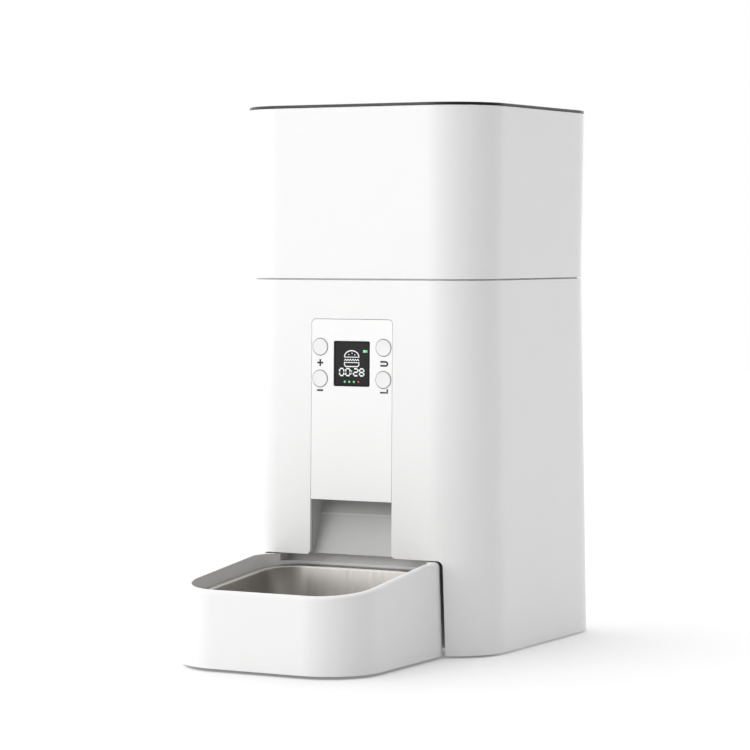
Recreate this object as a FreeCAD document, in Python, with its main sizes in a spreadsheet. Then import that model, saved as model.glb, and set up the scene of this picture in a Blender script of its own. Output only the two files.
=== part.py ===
import FreeCAD, Part
import math
import os
import re
import Sketcher

# An automatic pet feeder: a base with a control strip, an outlet and a food tray, a hopper that
# lifts off it, and a lid. Every sub-part is drawn about the housing's own upright centre line,
# and its Placement then carries it back by half the tray's reach, to the model's own origin:
# the middle of the footprint, on the surface that the feeder stands on. -Y is the front.

Vector = FreeCAD.Vector
Rotation = FreeCAD.Rotation
TO_THE_BACK = Rotation(Vector(1, 0, 0), -90)
TO_THE_RIGHT = Rotation(Vector(0, 1, 0), 90)
UPRIGHT = Rotation()

SIZES = {
    # the housing's outline at the floor, at the seam and at the top rim
    "feeder_height": 355.0, "base_width": 188.2, "base_depth": 193.2, "base_corner": 39.2,
    "seam_width": 181.4, "seam_depth": 186.4, "seam_corner": 35.8, "seam_height": 241.2,
    "rim_width": 185.2, "rim_depth": 190.2, "rim_corner": 37.7, "seam_gap": 1.0,
    "floor_gap": 1.5, "wall": 2.4, "lift_gap": 0.4, "close_gap": 0.3, "lid_thickness": 1.7,
    # the control strip, the outlet below it and the cut-out for the tray
    "strip_width": 60.0, "strip_top": 215.5, "strip_corner": 3.0, "outlet_top": 97.6,
    "cutout_top": 61.8, "cutout_width": 137.6, "cutout_lean": 2.2, "cutout_corner": 4.0, "strip_gap": 0.25,
    "window_width": 26.5, "window_height": 29.3, "window_middle": 186.5, "window_corner": 1.0,
    "button_radius": 5.35, "button_hole": 5.75, "button_side": 23.4, "button_high": 197.2,
    "button_low": 176.5, "button_proud": 0.5, "button_flange": 6.6, "stem_radius": 2.0,
    "board_face": 84.6, "board_thickness": 1.6, "boss_side": 25.5, "boss_low": 165.5,
    "boss_high": 209.5, "boss_radius": 2.6, "screw_radius": 1.2, "pilot_radius": 1.25,
    # the inner tub that the hopper sits in
    "tub_floor": 166.0, "tub_floor_thickness": 2.5, "tub_wall": 2.0, "tub_width": 172.0,
    "tub_depth": 161.0, "tub_back_shift": 8.0, "tub_corner": 45.0, "tub_rim": 232.0,
    "flange_width": 176.1, "flange_depth": 181.1, "flange_corner": 33.2,
    "tub_boss_side": 76.5, "tub_boss_back": 79.0, "tub_boss_radius": 4.0, "flange_thickness": 3.4,
    # the chute
    "chute_inside": 60.4, "chute_wall": 1.6, "chute_slope": 1.476, "lip_reach": 80.7,
    "lip_height": 88.1, "lip_edge": 1.2, "lip_step": 0.8, "apron_foot": 89.8,
    "apron_bottom": 62.3, "duct_face": 92.2, "throat_reach": 88.5, "throat_top": 120.5,
    "chute_top": 165.7, "duct_top": 99.6,
    # the drop window, the metering chamber and its moving parts
    "drop_half_width": 20.0, "drop_front": 47.0, "drop_back": 26.5, "chamber_radius": 52.0,
    "chamber_wall": 2.0, "chamber_floor": 176.0, "chamber_floor_thickness": 2.5,
    "chamber_rim": 213.0, "vane_count": 6.0, "vane_radius": 50.5, "vane_thickness": 2.2,
    "vane_low": 179.5, "vane_high": 207.0, "hub_radius": 12.0, "hub_high": 208.0,
    "foot_radius": 8.0, "foot_hole": 8.5, "foot_low": 174.0, "hex_flats": 10.0,
    "baffle_low": 210.0, "baffle_thickness": 1.8, "funnel_top": 262.0, "funnel_wall": 2.0,
    "agitator_low": 208.2, "agitator_radius": 9.0, "finger_reach": 38.0, "finger_high": 238.0,
    # the gear train
    "gear_module": 1.0, "output_teeth": 40.0, "pinion_teeth": 12.0, "idler_teeth": 36.0,
    "gearbox_low": 140.0, "gearbox_high": 163.8, "gearbox_half_width": 24.5,
    "gearbox_front": 24.5, "gearbox_back": 62.0, "gearbox_wall": 2.0, "cover_thickness": 2.0,
    "mesh_gap": 0.1, "shaft_radius": 3.0, "axle_radius": 1.5, "running_gap": 0.05,
    "motor_radius": 16.0, "motor_length": 36.0,
    # the food tray and its bowl
    "tray_reach": 119.4, "tray_width": 136.0, "tray_length": 146.0, "tray_corner": 36.0,
    "tray_draft": 2.1, "tray_low": 2.0, "tray_crest": 61.0, "tray_slope": 0.113,
    "slope_start": 113.0, "tray_wall": 2.2, "tray_round": 2.6, "landing_low": 56.2,
    "landing_half": 57.0, "landing_lip": 83.0, "landing_back": 79.2,
    "bowl_width": 111.6, "bowl_length": 112.6, "bowl_corner": 22.0, "bowl_depth": 34.0,
    "bowl_sheet": 0.8, "bowl_rim": 6.0, "bowl_middle": 147.3, "bowl_slope": 0.094,
    "ledge_height": 47.8, "well_wall": 3.0, "bowl_draft": 5.0, "bowl_round": 7.0,
    # underside
    "cover_low": 2.0, "cover_plate": 2.5, "cover_front": 63.5, "bay_half": 69.4,
    "bay_back": 66.0, "bay_wall": 1.6, "bay_front": 88.5, "cell_radius": 17.1,
    "cell_length": 61.5, "cell_pitch": 35.2, "door_half": 54.6, "door_front": 5.0,
    "door_back": 67.0, "foot_pad_radius": 8.0, "foot_pad_thickness": 2.5,
    "inlet_side": 45.0, "inlet_height": 28.0, "inlet_radius": 4.2, "inlet_bore": 3.2,
}

doc = FreeCAD.newDocument("pet_feeder")
sheet = doc.addObject("Spreadsheet::Sheet", "Sizes")
for row, (alias, size) in enumerate(SIZES.items(), start=1):
    sheet.set(f"A{row}", alias)
    sheet.set(f"B{row}", str(size))
    sheet.setAlias(f"B{row}", alias)
doc.recompute()

pieces = []
heights_back = {}


# ---- links between the sheet and the objects

def linked(text):
    """Write each size's name in an expression as the sheet's own cell."""
    def cell(word):
        name = word.group()
        return "Sizes." + name if name in SIZES else name
    return re.sub(r"[a-z][a-z_]*", cell, str(text))


def number(text):
    return float(sheet.evalExpression(linked(text)))


def bind(item, prop, text):
    item.setExpression(prop, linked(text))


def place(item, corner, rotation=UPRIGHT):
    item.Placement = FreeCAD.Placement(Vector(), rotation)
    for axis, text in zip("xyz", corner):
        bind(item, f"Placement.Base.{axis}", text)
    heights_back[item.Name] = corner[1]
    return item


def keep(item, label):
    """Name a finished sub-part and carry it back from the housing's centre line."""
    item.Label = label
    own_place = heights_back.get(item.Name, "0")
    bind(item, "Placement.Base.y", f"tray_reach / 2 + ({own_place})")
    pieces.append(item)
    return item


# ---- primitives and booleans

def box(label, low, high):
    """A block between two corners."""
    item = doc.addObject("Part::Box", label)
    for prop, start, end in zip(("Length", "Width", "Height"), low, high):
        bind(item, prop, f"({end}) - ({start})")
    return place(item, low)


def cylinder(label, radius, length, foot, rotation=UPRIGHT):
    item = doc.addObject("Part::Cylinder", label)
    bind(item, "Radius", radius)
    bind(item, "Height", length)
    return place(item, foot, rotation)


def cone(label, foot_radius, tip_radius, length, foot, rotation=UPRIGHT):
    item = doc.addObject("Part::Cone", label)
    bind(item, "Radius1", foot_radius)
    bind(item, "Radius2", tip_radius)
    bind(item, "Height", length)
    return place(item, foot, rotation)


def hexagon(label, flats, length, foot):
    item = doc.addObject("Part::Prism", label)
    item.Polygon = 6
    bind(item, "Circumradius", f"({flats}) / sqrt(3)")
    bind(item, "Height", length)
    return place(item, foot)


def fuse(label, *parts):
    item = doc.addObject("Part::MultiFuse", label)
    item.Shapes = list(parts)
    return item


def common(label, first, second):
    item = doc.addObject("Part::Common", label)
    item.Base = first
    item.Tool = second
    return item


def cut(label, base, *tools):
    item = doc.addObject("Part::Cut", label)
    item.Base = base
    item.Tool = tools[0] if len(tools) == 1 else fuse(label + "_tools", *tools)
    return item


def group(label, parts):
    item = doc.addObject("Part::Compound", label)
    item.Links = list(parts)
    return item


# ---- sketches and the features made from them

def new_body(label):
    return doc.addObject("PartDesign::Body", label)


def new_sketch(body, plane, offset=("0", "0", "0")):
    """An empty sketch on one of the body's own planes, moved in that plane's own axes."""
    drawing = body.newObject("Sketcher::SketchObject", body.Name + "_sketch")
    origin_plane = next(item for item in body.Origin.OriginFeatures if item.Role == plane)
    drawing.AttachmentSupport = [(origin_plane, "")]
    drawing.MapMode = "FlatFace"
    for axis, text in zip("xyz", offset):
        bind(drawing, f"AttachmentOffset.Base.{axis}", text)
    return drawing


def name_sizes(drawing, sizes):
    """Add each named dimension to the sketch and bind it to the sheet."""
    for name, (constraint, text) in sizes.items():
        index = drawing.addConstraint(constraint)
        drawing.renameConstraint(index, name)
        bind(drawing, f"Constraints.{name}", text)


def draw_rectangle(drawing, width, depth, corner):
    """A rounded rectangle about the sketch's own origin, sides first to last anticlockwise."""
    half_width = number(width) / 2
    half_depth = number(depth) / 2
    radius = number(corner)
    inner_x = half_width - radius
    inner_y = half_depth - radius
    runs = [((-inner_x, -half_depth), (inner_x, -half_depth)),
            ((half_width, -inner_y), (half_width, inner_y)),
            ((inner_x, half_depth), (-inner_x, half_depth)),
            ((-half_width, inner_y), (-half_width, -inner_y))]
    centres = [(inner_x, -inner_y), (inner_x, inner_y), (-inner_x, inner_y), (-inner_x, -inner_y)]
    for turn, (run, centre) in enumerate(zip(runs, centres)):
        start_angle = math.radians(90 * (turn - 1))
        side = Part.LineSegment(Vector(*run[0], 0), Vector(*run[1], 0))
        round_end = Part.Circle(Vector(*centre, 0), Vector(0, 0, 1), radius)
        drawing.addGeometry(side, False)
        drawing.addGeometry(Part.ArcOfCircle(round_end, start_angle, start_angle + math.pi / 2))
    for index in range(8):
        drawing.addConstraint(Sketcher.Constraint("Tangent", index, 2, (index + 1) % 8, 1))
    for side, way in ((0, "Horizontal"), (2, "Vertical"), (4, "Horizontal"), (6, "Vertical")):
        drawing.addConstraint(Sketcher.Constraint(way, side))
    for other in (3, 5, 7):
        drawing.addConstraint(Sketcher.Constraint("Equal", 1, other))
    drawing.addConstraint(Sketcher.Constraint("Symmetric", 1, 3, 5, 3, -1, 1))
    name_sizes(drawing, {
        "corner": (Sketcher.Constraint("Radius", 1, radius), corner),
        "width": (Sketcher.Constraint("DistanceX", 6, 1, 2, 1, 2 * half_width), width),
        "depth": (Sketcher.Constraint("DistanceY", 0, 1, 4, 1, 2 * half_depth), depth),
    })
    return drawing


def draw_polygon(drawing, corners):
    """A closed outline of straight runs, each corner placed from the sketch's own origin."""
    points = [Vector(number(across), number(up), 0) for across, up in corners]
    count = len(points)
    for index, point in enumerate(points):
        drawing.addGeometry(Part.LineSegment(point, points[(index + 1) % count]), False)
    for index in range(count):
        drawing.addConstraint(Sketcher.Constraint("Coincident", index, 2, (index + 1) % count, 1))
    for index, (across, up) in enumerate(corners):
        point = points[index]
        name_sizes(drawing, {
            f"across{index}": (Sketcher.Constraint("DistanceX", -1, 1, index, 1, point.x), across),
            f"up{index}": (Sketcher.Constraint("DistanceY", -1, 1, index, 1, point.y), up),
        })
    return drawing


def extrude(body, kind, drawing, length, reverse=False, both_ways=False):
    """A Pad or a Pocket of a sketch."""
    feature = body.newObject(f"PartDesign::{kind}", f"{body.Name}_{kind.lower()}")
    feature.Profile = drawing
    bind(feature, "Length", length)
    feature.SideType = "Symmetric" if both_ways else "One side"
    feature.Reversed = reverse
    drawing.Visibility = False
    return feature


def loft(body, kind, low, high):
    feature = body.newObject(f"PartDesign::{kind}", f"{body.Name}_{kind.lower()}")
    feature.Profile = low
    feature.Sections = [high]
    feature.Ruled = True
    return feature


def rectangle_at(body, size, height, middle=("0", "0")):
    """A rounded rectangle (width, depth, corner) lying at a height."""
    drawing = new_sketch(body, "XY_Plane", (middle[0], middle[1], height))
    return draw_rectangle(drawing, *size)


def tapered(body, kind, low_size, low_height, high_size, high_height, middle=("0", "0")):
    low = rectangle_at(body, low_size, low_height, middle)
    high = rectangle_at(body, high_size, high_height, middle)
    return loft(body, kind, low, high)


def slab(label, size, low, high, middle=("0", "0")):
    """A body with one upright pad of a rounded rectangle."""
    body = new_body(label)
    extrude(body, "Pad", rectangle_at(body, size, low, middle), f"({high}) - ({low})")
    return body


def side_prism(label, corners, width):
    """A body whose side view is a polygon of (y, z) corners, as wide each side of the middle."""
    body = new_body(label)
    drawing = draw_polygon(new_sketch(body, "YZ_Plane"), corners)
    extrude(body, "Pad", drawing, width, both_ways=True)
    return body


def front_prism(label, size, middle_height, front, depth):
    """A body whose front view is a rounded rectangle, from a reach forward back to a depth."""
    body = new_body(label)
    drawing = new_sketch(body, "XZ_Plane", ("0", middle_height, front))
    extrude(body, "Pad", draw_rectangle(drawing, *size), depth, reverse=True)
    return body


def four(label, make):
    """Four of a thing, one for each way of signing left and right, front and back."""
    signs = [(x, y) for x in (-1, 1) for y in (-1, 1)]
    return [make(f"{label}_{index}", x, y) for index, (x, y) in enumerate(signs)]


# ---- the housing's own outlines

def base_outline(height, inset):
    """The base's outline at a height, drawn in by an inset: width, depth and corner."""
    share = f"(({height}) - floor_gap) / (seam_height - floor_gap)"
    return (f"base_width - (base_width - seam_width) * {share} - 2 * ({inset})",
            f"base_depth - (base_depth - seam_depth) * {share} - 2 * ({inset})",
            f"base_corner - (base_corner - seam_corner) * {share} - ({inset})")


def hopper_outline(height, inset):
    share = f"(({height}) - seam_height) / (feeder_height - seam_height)"
    return (f"seam_width + (rim_width - seam_width) * {share} - 2 * ({inset})",
            f"seam_depth + (rim_depth - seam_depth) * {share} - 2 * ({inset})",
            f"seam_corner + (rim_corner - seam_corner) * {share} - ({inset})")


BASE_TOP = "seam_height - seam_gap / 2"
HOPPER_BOTTOM = "seam_height + seam_gap / 2"
HOPPER_TOP = "feeder_height - lid_thickness - lift_gap / 2"


def base_form(body, kind, inset, low="floor_gap", high=BASE_TOP):
    return tapered(body, kind, base_outline(low, inset), low, base_outline(high, inset), high)


# ---- base: housing

def make_base_shell():
    body = new_body("base_shell_body")
    base_form(body, "AdditiveLoft", "0")
    base_form(body, "SubtractiveLoft", "wall")
    reach = "base_depth / 2 + 2"
    opening_height = "strip_top - cutout_top + 8"
    opening = new_sketch(body, "XZ_Plane", ("0", "(strip_top + cutout_top - 8) / 2", reach))
    draw_rectangle(opening, "strip_width", opening_height, "strip_corner")
    extrude(body, "Pocket", opening, "12")
    cutout = new_sketch(body, "XZ_Plane", ("0", "0", reach))
    draw_polygon(cutout, [
        ("-cutout_width / 2", "-4"), ("cutout_width / 2", "-4"),
        ("cutout_width / 2 - cutout_lean", "cutout_top"),
        ("cutout_lean - cutout_width / 2", "cutout_top"),
    ])
    extrude(body, "Pocket", cutout, "30")
    doc.recompute()
    soften_corners(body, "outlet_corner_fillet", "strip_width / 2", "strip_corner")
    doc.recompute()
    soften_corners(body, "cutout_corner_fillet", "cutout_width / 2 - cutout_lean", "cutout_corner")
    reinforced = fuse("base_shell_bossed", body, *tub_bosses(), *cover_bosses())
    inlet_hole = cylinder("inlet_hole", "inlet_radius + 0.2", "12",
                          ("inlet_side", "base_depth / 2 - 8", "inlet_height"), TO_THE_BACK)
    keep(cut("base_shell", reinforced, *boss_pilots(), inlet_hole), "base_shell")


def soften_corners(body, label, reach, radius):
    """Round the cut-out's two top corners, or the two where the outlet's sides meet it."""
    shape = body.Tip.Shape
    side = number(reach)
    height = number("cutout_top")
    names = []
    for index, edge in enumerate(shape.Edges, start=1):
        middle = edge.CenterOfMass
        at_corner = abs(abs(middle.x) - side) < 0.05 and abs(middle.z - height) < 0.05
        if at_corner and middle.y < 0:
            names.append(f"Edge{index}")
    fillet = body.newObject("PartDesign::Fillet", label)
    fillet.Base = (body.Tip if body.Tip != fillet else fillet.BaseFeature, names)
    bind(fillet, "Radius", radius)
    body.Tip = fillet


def tub_bosses():
    def boss(label, x, y):
        foot = (f"{x} * tub_boss_side", f"{y} * tub_boss_back", "205")
        return cylinder(label, "tub_boss_radius", "tub_rim - flange_thickness - 0.2 - 205", foot)
    return four("tub_boss", boss)


COVER_POINTS = {-1: ("87.5", "-50"), 1: ("78.6", "81.1")}


def cover_bosses():
    def boss(label, x, y):
        side, back = COVER_POINTS[y]
        radius = "5" if y < 0 else "4"
        return cylinder(label, radius, "24", (f"{x} * {side}", back, "cover_low + cover_plate + 0.2"))
    return four("cover_boss", boss)


def boss_pilots():
    def tub_pilot(label, x, y):
        foot = (f"{x} * tub_boss_side", f"{y} * tub_boss_back", "212")
        return cylinder(label, "pilot_radius", "30", foot)

    def cover_pilot(label, x, y):
        side, back = COVER_POINTS[y]
        return cylinder(label, "pilot_radius", "16", (f"{x} * {side}", back, "3"))
    return four("tub_pilot", tub_pilot) + four("cover_pilot", cover_pilot)


def make_front_panel():
    """The strip follows the front wall's own slope, so it is cut from the same form."""
    outer = new_body("panel_outer")
    base_form(outer, "AdditiveLoft", "0")
    base_form(outer, "SubtractiveLoft", "wall + 0.3")
    size = ("strip_width - 2 * strip_gap", "strip_top - outlet_top - 2 * strip_gap",
            "strip_corner - strip_gap")
    middle = "(strip_top + outlet_top) / 2"
    strip = common("panel_strip", outer, front_prism("panel_edge", size, middle,
                                                     "base_depth / 2 + 2", "20"))
    behind = new_body("panel_behind")
    base_form(behind, "AdditiveLoft", "wall - 0.05")
    base_form(behind, "SubtractiveLoft", "wall + 1.4")
    wide = ("strip_width + 6", "strip_top - 104 + 3", "strip_corner")
    flange = common("panel_flange", behind, front_prism("flange_edge", wide,
                                                        "(strip_top + 3 + 104) / 2",
                                                        "base_depth / 2 + 2", "20"))
    inside = box("panel_flange_clear", ("-strip_width / 2 + 1.5", "-base_depth / 2", "100"),
                 ("strip_width / 2 - 1.5", "-base_depth / 2 + 12", "strip_top - 2"))
    clear_of_wall = common("flange_clear", flange, shell_clearance("flange_room"))
    frame = cut("panel_frame", clear_of_wall, inside)
    bosses = [cylinder(f"panel_boss_{x}_{z}", "boss_radius", "base_depth / 2 - 4 - board_face",
                       (f"{x} * boss_side", "4 - base_depth / 2", z), TO_THE_BACK)
              for x in (-1, 1) for z in ("boss_low", "boss_high")]
    solid = fuse("panel_solid", strip, frame, *bosses)
    holes = [cylinder(f"button_hole_{x}_{z}", "button_hole", "20",
                      (f"{x} * button_side", "-base_depth / 2 - 2", z), TO_THE_BACK)
             for x in (-1, 1) for z in ("button_high", "button_low")]
    flange_rooms = [cylinder(f"button_room_{x}_{z}", "button_flange + 0.4", "12",
                             (f"{x} * button_side", f"{panel_back(z)} + 0.02", z), TO_THE_BACK)
                    for x in (-1, 1) for z in ("button_high", "button_low")]
    pilots = [cylinder(f"board_pilot_{x}_{z}", "pilot_radius", "7",
                       (f"{x} * boss_side", "-board_face - 6.5", z), TO_THE_BACK)
              for x in (-1, 1) for z in ("boss_low", "boss_high")]
    window = front_prism("window_hole", ("window_width + 0.1", "window_height + 0.1",
                                         "window_corner + 0.05"),
                         "window_middle", "base_depth / 2 + 2", "20")
    keep(cut("front_panel", solid, window, *holes, *flange_rooms, *pilots), "front_panel")


def front_face(height):
    """How far back the front wall's outer face stands at a height."""
    slope = "(base_depth - seam_depth) / 2 / (seam_height - floor_gap)"
    return f"-base_depth / 2 + {slope} * ({height} - floor_gap)"


def panel_back(height):
    return f"{front_face(height)} + wall + 0.3"


def shell_clearance(label):
    """The room just inside the front wall."""
    body = new_body(label)
    base_form(body, "AdditiveLoft", "wall + 0.05")
    return body


def make_display():
    outer = new_body("window_form")
    base_form(outer, "AdditiveLoft", "0")
    base_form(outer, "SubtractiveLoft", "1.6")
    pane = ("window_width - 0.1", "window_height - 0.1", "window_corner")
    prism = front_prism("window_edge", pane, "window_middle", "base_depth / 2 + 2", "20")
    keep(common("lcd_window", outer, prism), "lcd_window")
    module = box("lcd_module", ("-15", "-90.9", "window_middle - 17"),
                 ("15", "-board_face - 0.2", "window_middle + 17"))
    keep(module, "lcd_module")


def make_buttons():
    buttons = (("button_plus", -1, "button_high"), ("button_minus", -1, "button_low"),
               ("button_back", 1, "button_high"), ("button_enter", 1, "button_low"))
    for label, side, height in buttons:
        across = f"{side} * button_side"
        face = f"{front_face(height)} - button_proud"
        cap = cylinder(label + "_cap", "button_radius", "3.6", (across, face, height), TO_THE_BACK)
        flange = cylinder(label + "_flange", "button_flange", "0.9",
                          (across, f"{face} + 3.5", height), TO_THE_BACK)
        stem = cylinder(label + "_stem", "stem_radius", f"-board_face - 3.1 - ({face}) - 3",
                        (across, f"{face} + 3", height), TO_THE_BACK)
        keep(fuse(label, cap, flange, stem), label)


def make_control_board():
    board = box("control_plate", ("-28", "-board_face", "161"),
                ("28", "board_thickness - board_face", "213"))
    holes = [cylinder(f"board_hole_{x}_{z}", "1.5", "6", (f"{x} * boss_side", "-board_face - 2", z),
                      TO_THE_BACK) for x in (-1, 1) for z in ("boss_low", "boss_high")]
    keep(cut("control_board", board, *holes), "control_board")
    switches = []
    for x in (-1, 1):
        for z in ("button_high", "button_low"):
            low = (f"{x} * button_side - 3", "-board_face - 1.9", f"{z} - 3")
            high = (f"{x} * button_side + 3", "-board_face - 0.05", f"{z} + 3")
            housing = box(f"switch_{x}_{z}", low, high)
            plunger = cylinder(f"plunger_{x}_{z}", "1.6", "0.6",
                               (f"{x} * button_side", "-board_face - 2.3", z), TO_THE_BACK)
            switches.append(fuse(f"switch_whole_{x}_{z}", housing, plunger))
    keep(group("tact_switches", switches), "tact_switches")
    screws = []
    for x in (-1, 1):
        for z in ("boss_low", "boss_high"):
            head = cylinder(f"board_head_{x}_{z}", "2.4", "1.5",
                            (f"{x} * boss_side", "board_thickness - board_face + 0.05", z),
                            TO_THE_BACK)
            shank = cylinder(f"board_shank_{x}_{z}", "screw_radius", "board_thickness + 5",
                             (f"{x} * boss_side", "-board_face - 4.8", z), TO_THE_BACK)
            screws.append(fuse(f"board_screw_{x}_{z}", head, shank))
    keep(group("board_screws", screws), "board_screws")


# ---- base: inside

GEARBOX_CORNERS = [(x, y) for x in ("-21", "21") for y in ("-20.5", "58.5")]


def make_inner_tub():
    body = new_body("tub_body")
    middle = ("0", "tub_back_shift")
    outline = ("tub_width", "tub_depth", "tub_corner")
    inside = ("tub_width - 2 * tub_wall", "tub_depth - 2 * tub_wall", "tub_corner - tub_wall")
    extrude(body, "Pad", rectangle_at(body, outline, "tub_floor", middle),
            "tub_rim - tub_floor - 0.5")
    flange = rectangle_at(body, ("flange_width", "flange_depth", "flange_corner"),
                          "tub_rim - flange_thickness")
    extrude(body, "Pad", flange, "flange_thickness")
    extrude(body, "Pocket", rectangle_at(body, inside, "tub_rim + 1", middle),
            "tub_rim + 1 - tub_floor - tub_floor_thickness")
    window = box("tub_window", ("-drop_half_width - 4", "-drop_front - 4", "tub_floor - 1"),
                 ("drop_half_width + 4", "2.3 - drop_back", "tub_floor + 6"))
    shaft_hole = cylinder("tub_shaft_hole", "shaft_radius + 1", "10", ("0", "0", "tub_floor - 2"))

    def screw_hole(label, x, y):
        foot = (f"{x} * tub_boss_side", f"{y} * tub_boss_back", "tub_rim - 8")
        return cylinder(label, "1.6", "14", foot)

    def head_recess(label, x, y):
        foot = (f"{x} * tub_boss_side", f"{y} * tub_boss_back", "tub_rim - 1.8")
        return cylinder(label, "2.8", "6", foot)
    holes = four("tub_screw_hole", screw_hole) + four("tub_head_recess", head_recess)
    gearbox_holes = [cylinder(f"tub_gear_hole_{x}_{y}", "1.5", "10", (x, y, "tub_floor - 2"))
                     for x, y in GEARBOX_CORNERS]
    keep(cut("inner_tub", body, window, shaft_hole, *holes, *gearbox_holes), "inner_tub")

    def screw(label, x, y):
        centre = (f"{x} * tub_boss_side", f"{y} * tub_boss_back")
        head = cylinder(label + "_head", "2.4", "1.5", (*centre, "tub_rim - 1.75"))
        shank = cylinder(label + "_shank", "screw_radius", "14", (*centre, "tub_rim - 15"))
        return fuse(label, head, shank)
    keep(group("tub_screws", four("tub_screw", screw)), "tub_screws")


def make_chute():
    """A slide from the tub's window to the lip, then the steep apron down to the tray."""
    floor_top = "(chute_top - lip_height) / chute_slope - lip_reach"
    outer = side_prism("chute_outer", [
        ("-duct_face", "apron_bottom"), ("-duct_face", "duct_top + chute_wall"),
        ("-throat_reach - chute_wall", "duct_top + chute_wall"),
        ("-throat_reach - chute_wall", "throat_top + 0.5"),
        (f"{floor_top} - 31.7", "chute_top"), (f"{floor_top} + 1.9", "chute_top"),
        ("-lip_reach + 3.1", "lip_height + 1.8"), ("-apron_foot + 1.8", "apron_bottom"),
    ], "chute_inside + 2 * chute_wall")
    above = "chute_top + 2"
    floor_above = f"({above} - lip_height) / chute_slope - lip_reach"
    inner = side_prism("chute_inner", [
        ("-duct_face - 8", "apron_bottom - 1"), ("-apron_foot - 0.4", "apron_bottom - 1"),
        ("-lip_reach + lip_step", "lip_height - lip_edge"),
        ("-lip_reach", "lip_height - lip_edge"), ("-lip_reach", "lip_height"),
        (floor_above, above), (f"{floor_above} - 29.8", above),
        ("-throat_reach", "throat_top"), ("-throat_reach", "duct_top"),
        ("-duct_face - 8", "duct_top"),
    ], "chute_inside")
    keep(cut("chute", outer, inner), "chute")


def make_tray_bay():
    outer = box("bay_outer", ("-bay_half - bay_wall", "-bay_front", "3.2"),
                ("bay_half + bay_wall", "bay_wall - bay_back", "cutout_top + 1.6"))
    inner = box("bay_inner", ("-bay_half", "-bay_front - 2", "0"),
                ("bay_half", "-bay_back", "cutout_top + 0.1"))
    outlet = box("bay_outlet", ("-chute_inside / 2 - 2", "-bay_front - 2", "cutout_top - 2"),
                 ("chute_inside / 2 + 2", "0.6 - apron_foot + 1.8", "cutout_top + 6"))
    keep(cut("tray_bay", outer, inner, outlet), "tray_bay")


def make_bottom_cover():
    plate = new_body("cover_plate_body")
    low = "cover_low"
    outline = base_outline(low, "wall + lift_gap")
    extrude(plate, "Pad", rectangle_at(plate, outline, low), "cover_plate")
    front = box("cover_front_cut", ("-100", "-100", "0"), ("100", "-cover_front", "20"))
    case_outer = box("battery_case", ("-door_half - 1.8", "-door_front - 1.8", "cover_low + 0.5"),
                     ("door_half + 1.8", "door_back + 1.8", "43.8"))
    case_inner = box("battery_room", ("-door_half + 0.8", "0.8 - door_front", "0"),
                     ("door_half - 0.8", "door_back - 0.8", "42"))
    door_seat = box("door_seat", ("-door_half - lift_gap", "-door_front - lift_gap", "0"),
                    ("door_half + lift_gap", "door_back + lift_gap", "cover_low + 2.2"))

    def recess(label, x, y):
        return cylinder(label, "foot_pad_radius + 0.2", "3", (*pad_centre(x, y), "-0.4"))

    def screw_hole(label, x, y):
        side, back = COVER_POINTS[y]
        return cylinder(label, "1.6", "10", (f"{x} * {side}", back, "0"))
    holes = four("cover_hole", screw_hole) + four("pad_recess", recess)
    body = cut("cover_trimmed", plate, front)
    cased = fuse("cover_cased", body, case_outer)
    keep(cut("bottom_cover", cased, case_inner, door_seat, *holes), "bottom_cover")
    door = box("battery_door_plate", ("-door_half", "-door_front", "cover_low"),
               ("door_half", "door_back", "cover_low + 1.8"))
    tab = box("battery_door_tab", ("-8", "door_back - 9", "cover_low - 1"),
              ("8", "door_back - 5", "cover_low + 0.8"))
    keep(cut("battery_door", door, tab), "battery_door")

    def pad(label, x, y):
        return cylinder(label, "foot_pad_radius", "foot_pad_thickness", (*pad_centre(x, y), "0"))
    keep(group("rubber_feet", four("foot", pad)), "rubber_feet")

    def screw(label, x, y):
        side, back = COVER_POINTS[y]
        head = cylinder(label + "_head", "2.6", "1.2", (f"{x} * {side}", back, "cover_low - 1.25"))
        shank = cylinder(label + "_shank", "screw_radius", "14", (f"{x} * {side}", back,
                                                                "cover_low - 0.1"))
        return fuse(label, head, shank)
    keep(group("bottom_screws", four("bottom_screw", screw)), "bottom_screws")


def pad_centre(x, y):
    return (f"{x} * 70", "-46" if y < 0 else "68")


def make_batteries():
    cells = []
    contacts = []
    for place_across in (-1, 0, 1):
        across = f"{place_across} * cell_pitch"
        height = "cover_low + 4.5 + cell_radius"
        can = cylinder(f"cell_can_{place_across}", "cell_radius", "cell_length - 1.5",
                       (across, "1.8", height), TO_THE_BACK)
        button = cylinder(f"cell_button_{place_across}", "4.7", "3",
                          (across, "cell_length - 1.2", height), TO_THE_BACK)
        cells.append(fuse(f"cell_{place_across}", can, button))
        spring = cone(f"spring_{place_across}", "7", "4", "4.4", (across, "-3.1", height),
                      TO_THE_BACK)
        plate = box(f"plate_{place_across}", (f"{across} - 8", "-3.7", f"{height} - 8"),
                    (f"{across} + 8", "-3", f"{height} + 8"))
        contacts.append(fuse(f"contact_{place_across}", spring, plate))
        far_plate = box(f"far_plate_{place_across}", (f"{across} - 8", "65", f"{height} - 8"),
                        (f"{across} + 8", "65.6", f"{height} + 8"))
        contacts.append(far_plate)
    keep(group("batteries", cells), "batteries")
    keep(group("battery_contacts", contacts), "battery_contacts")


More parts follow.
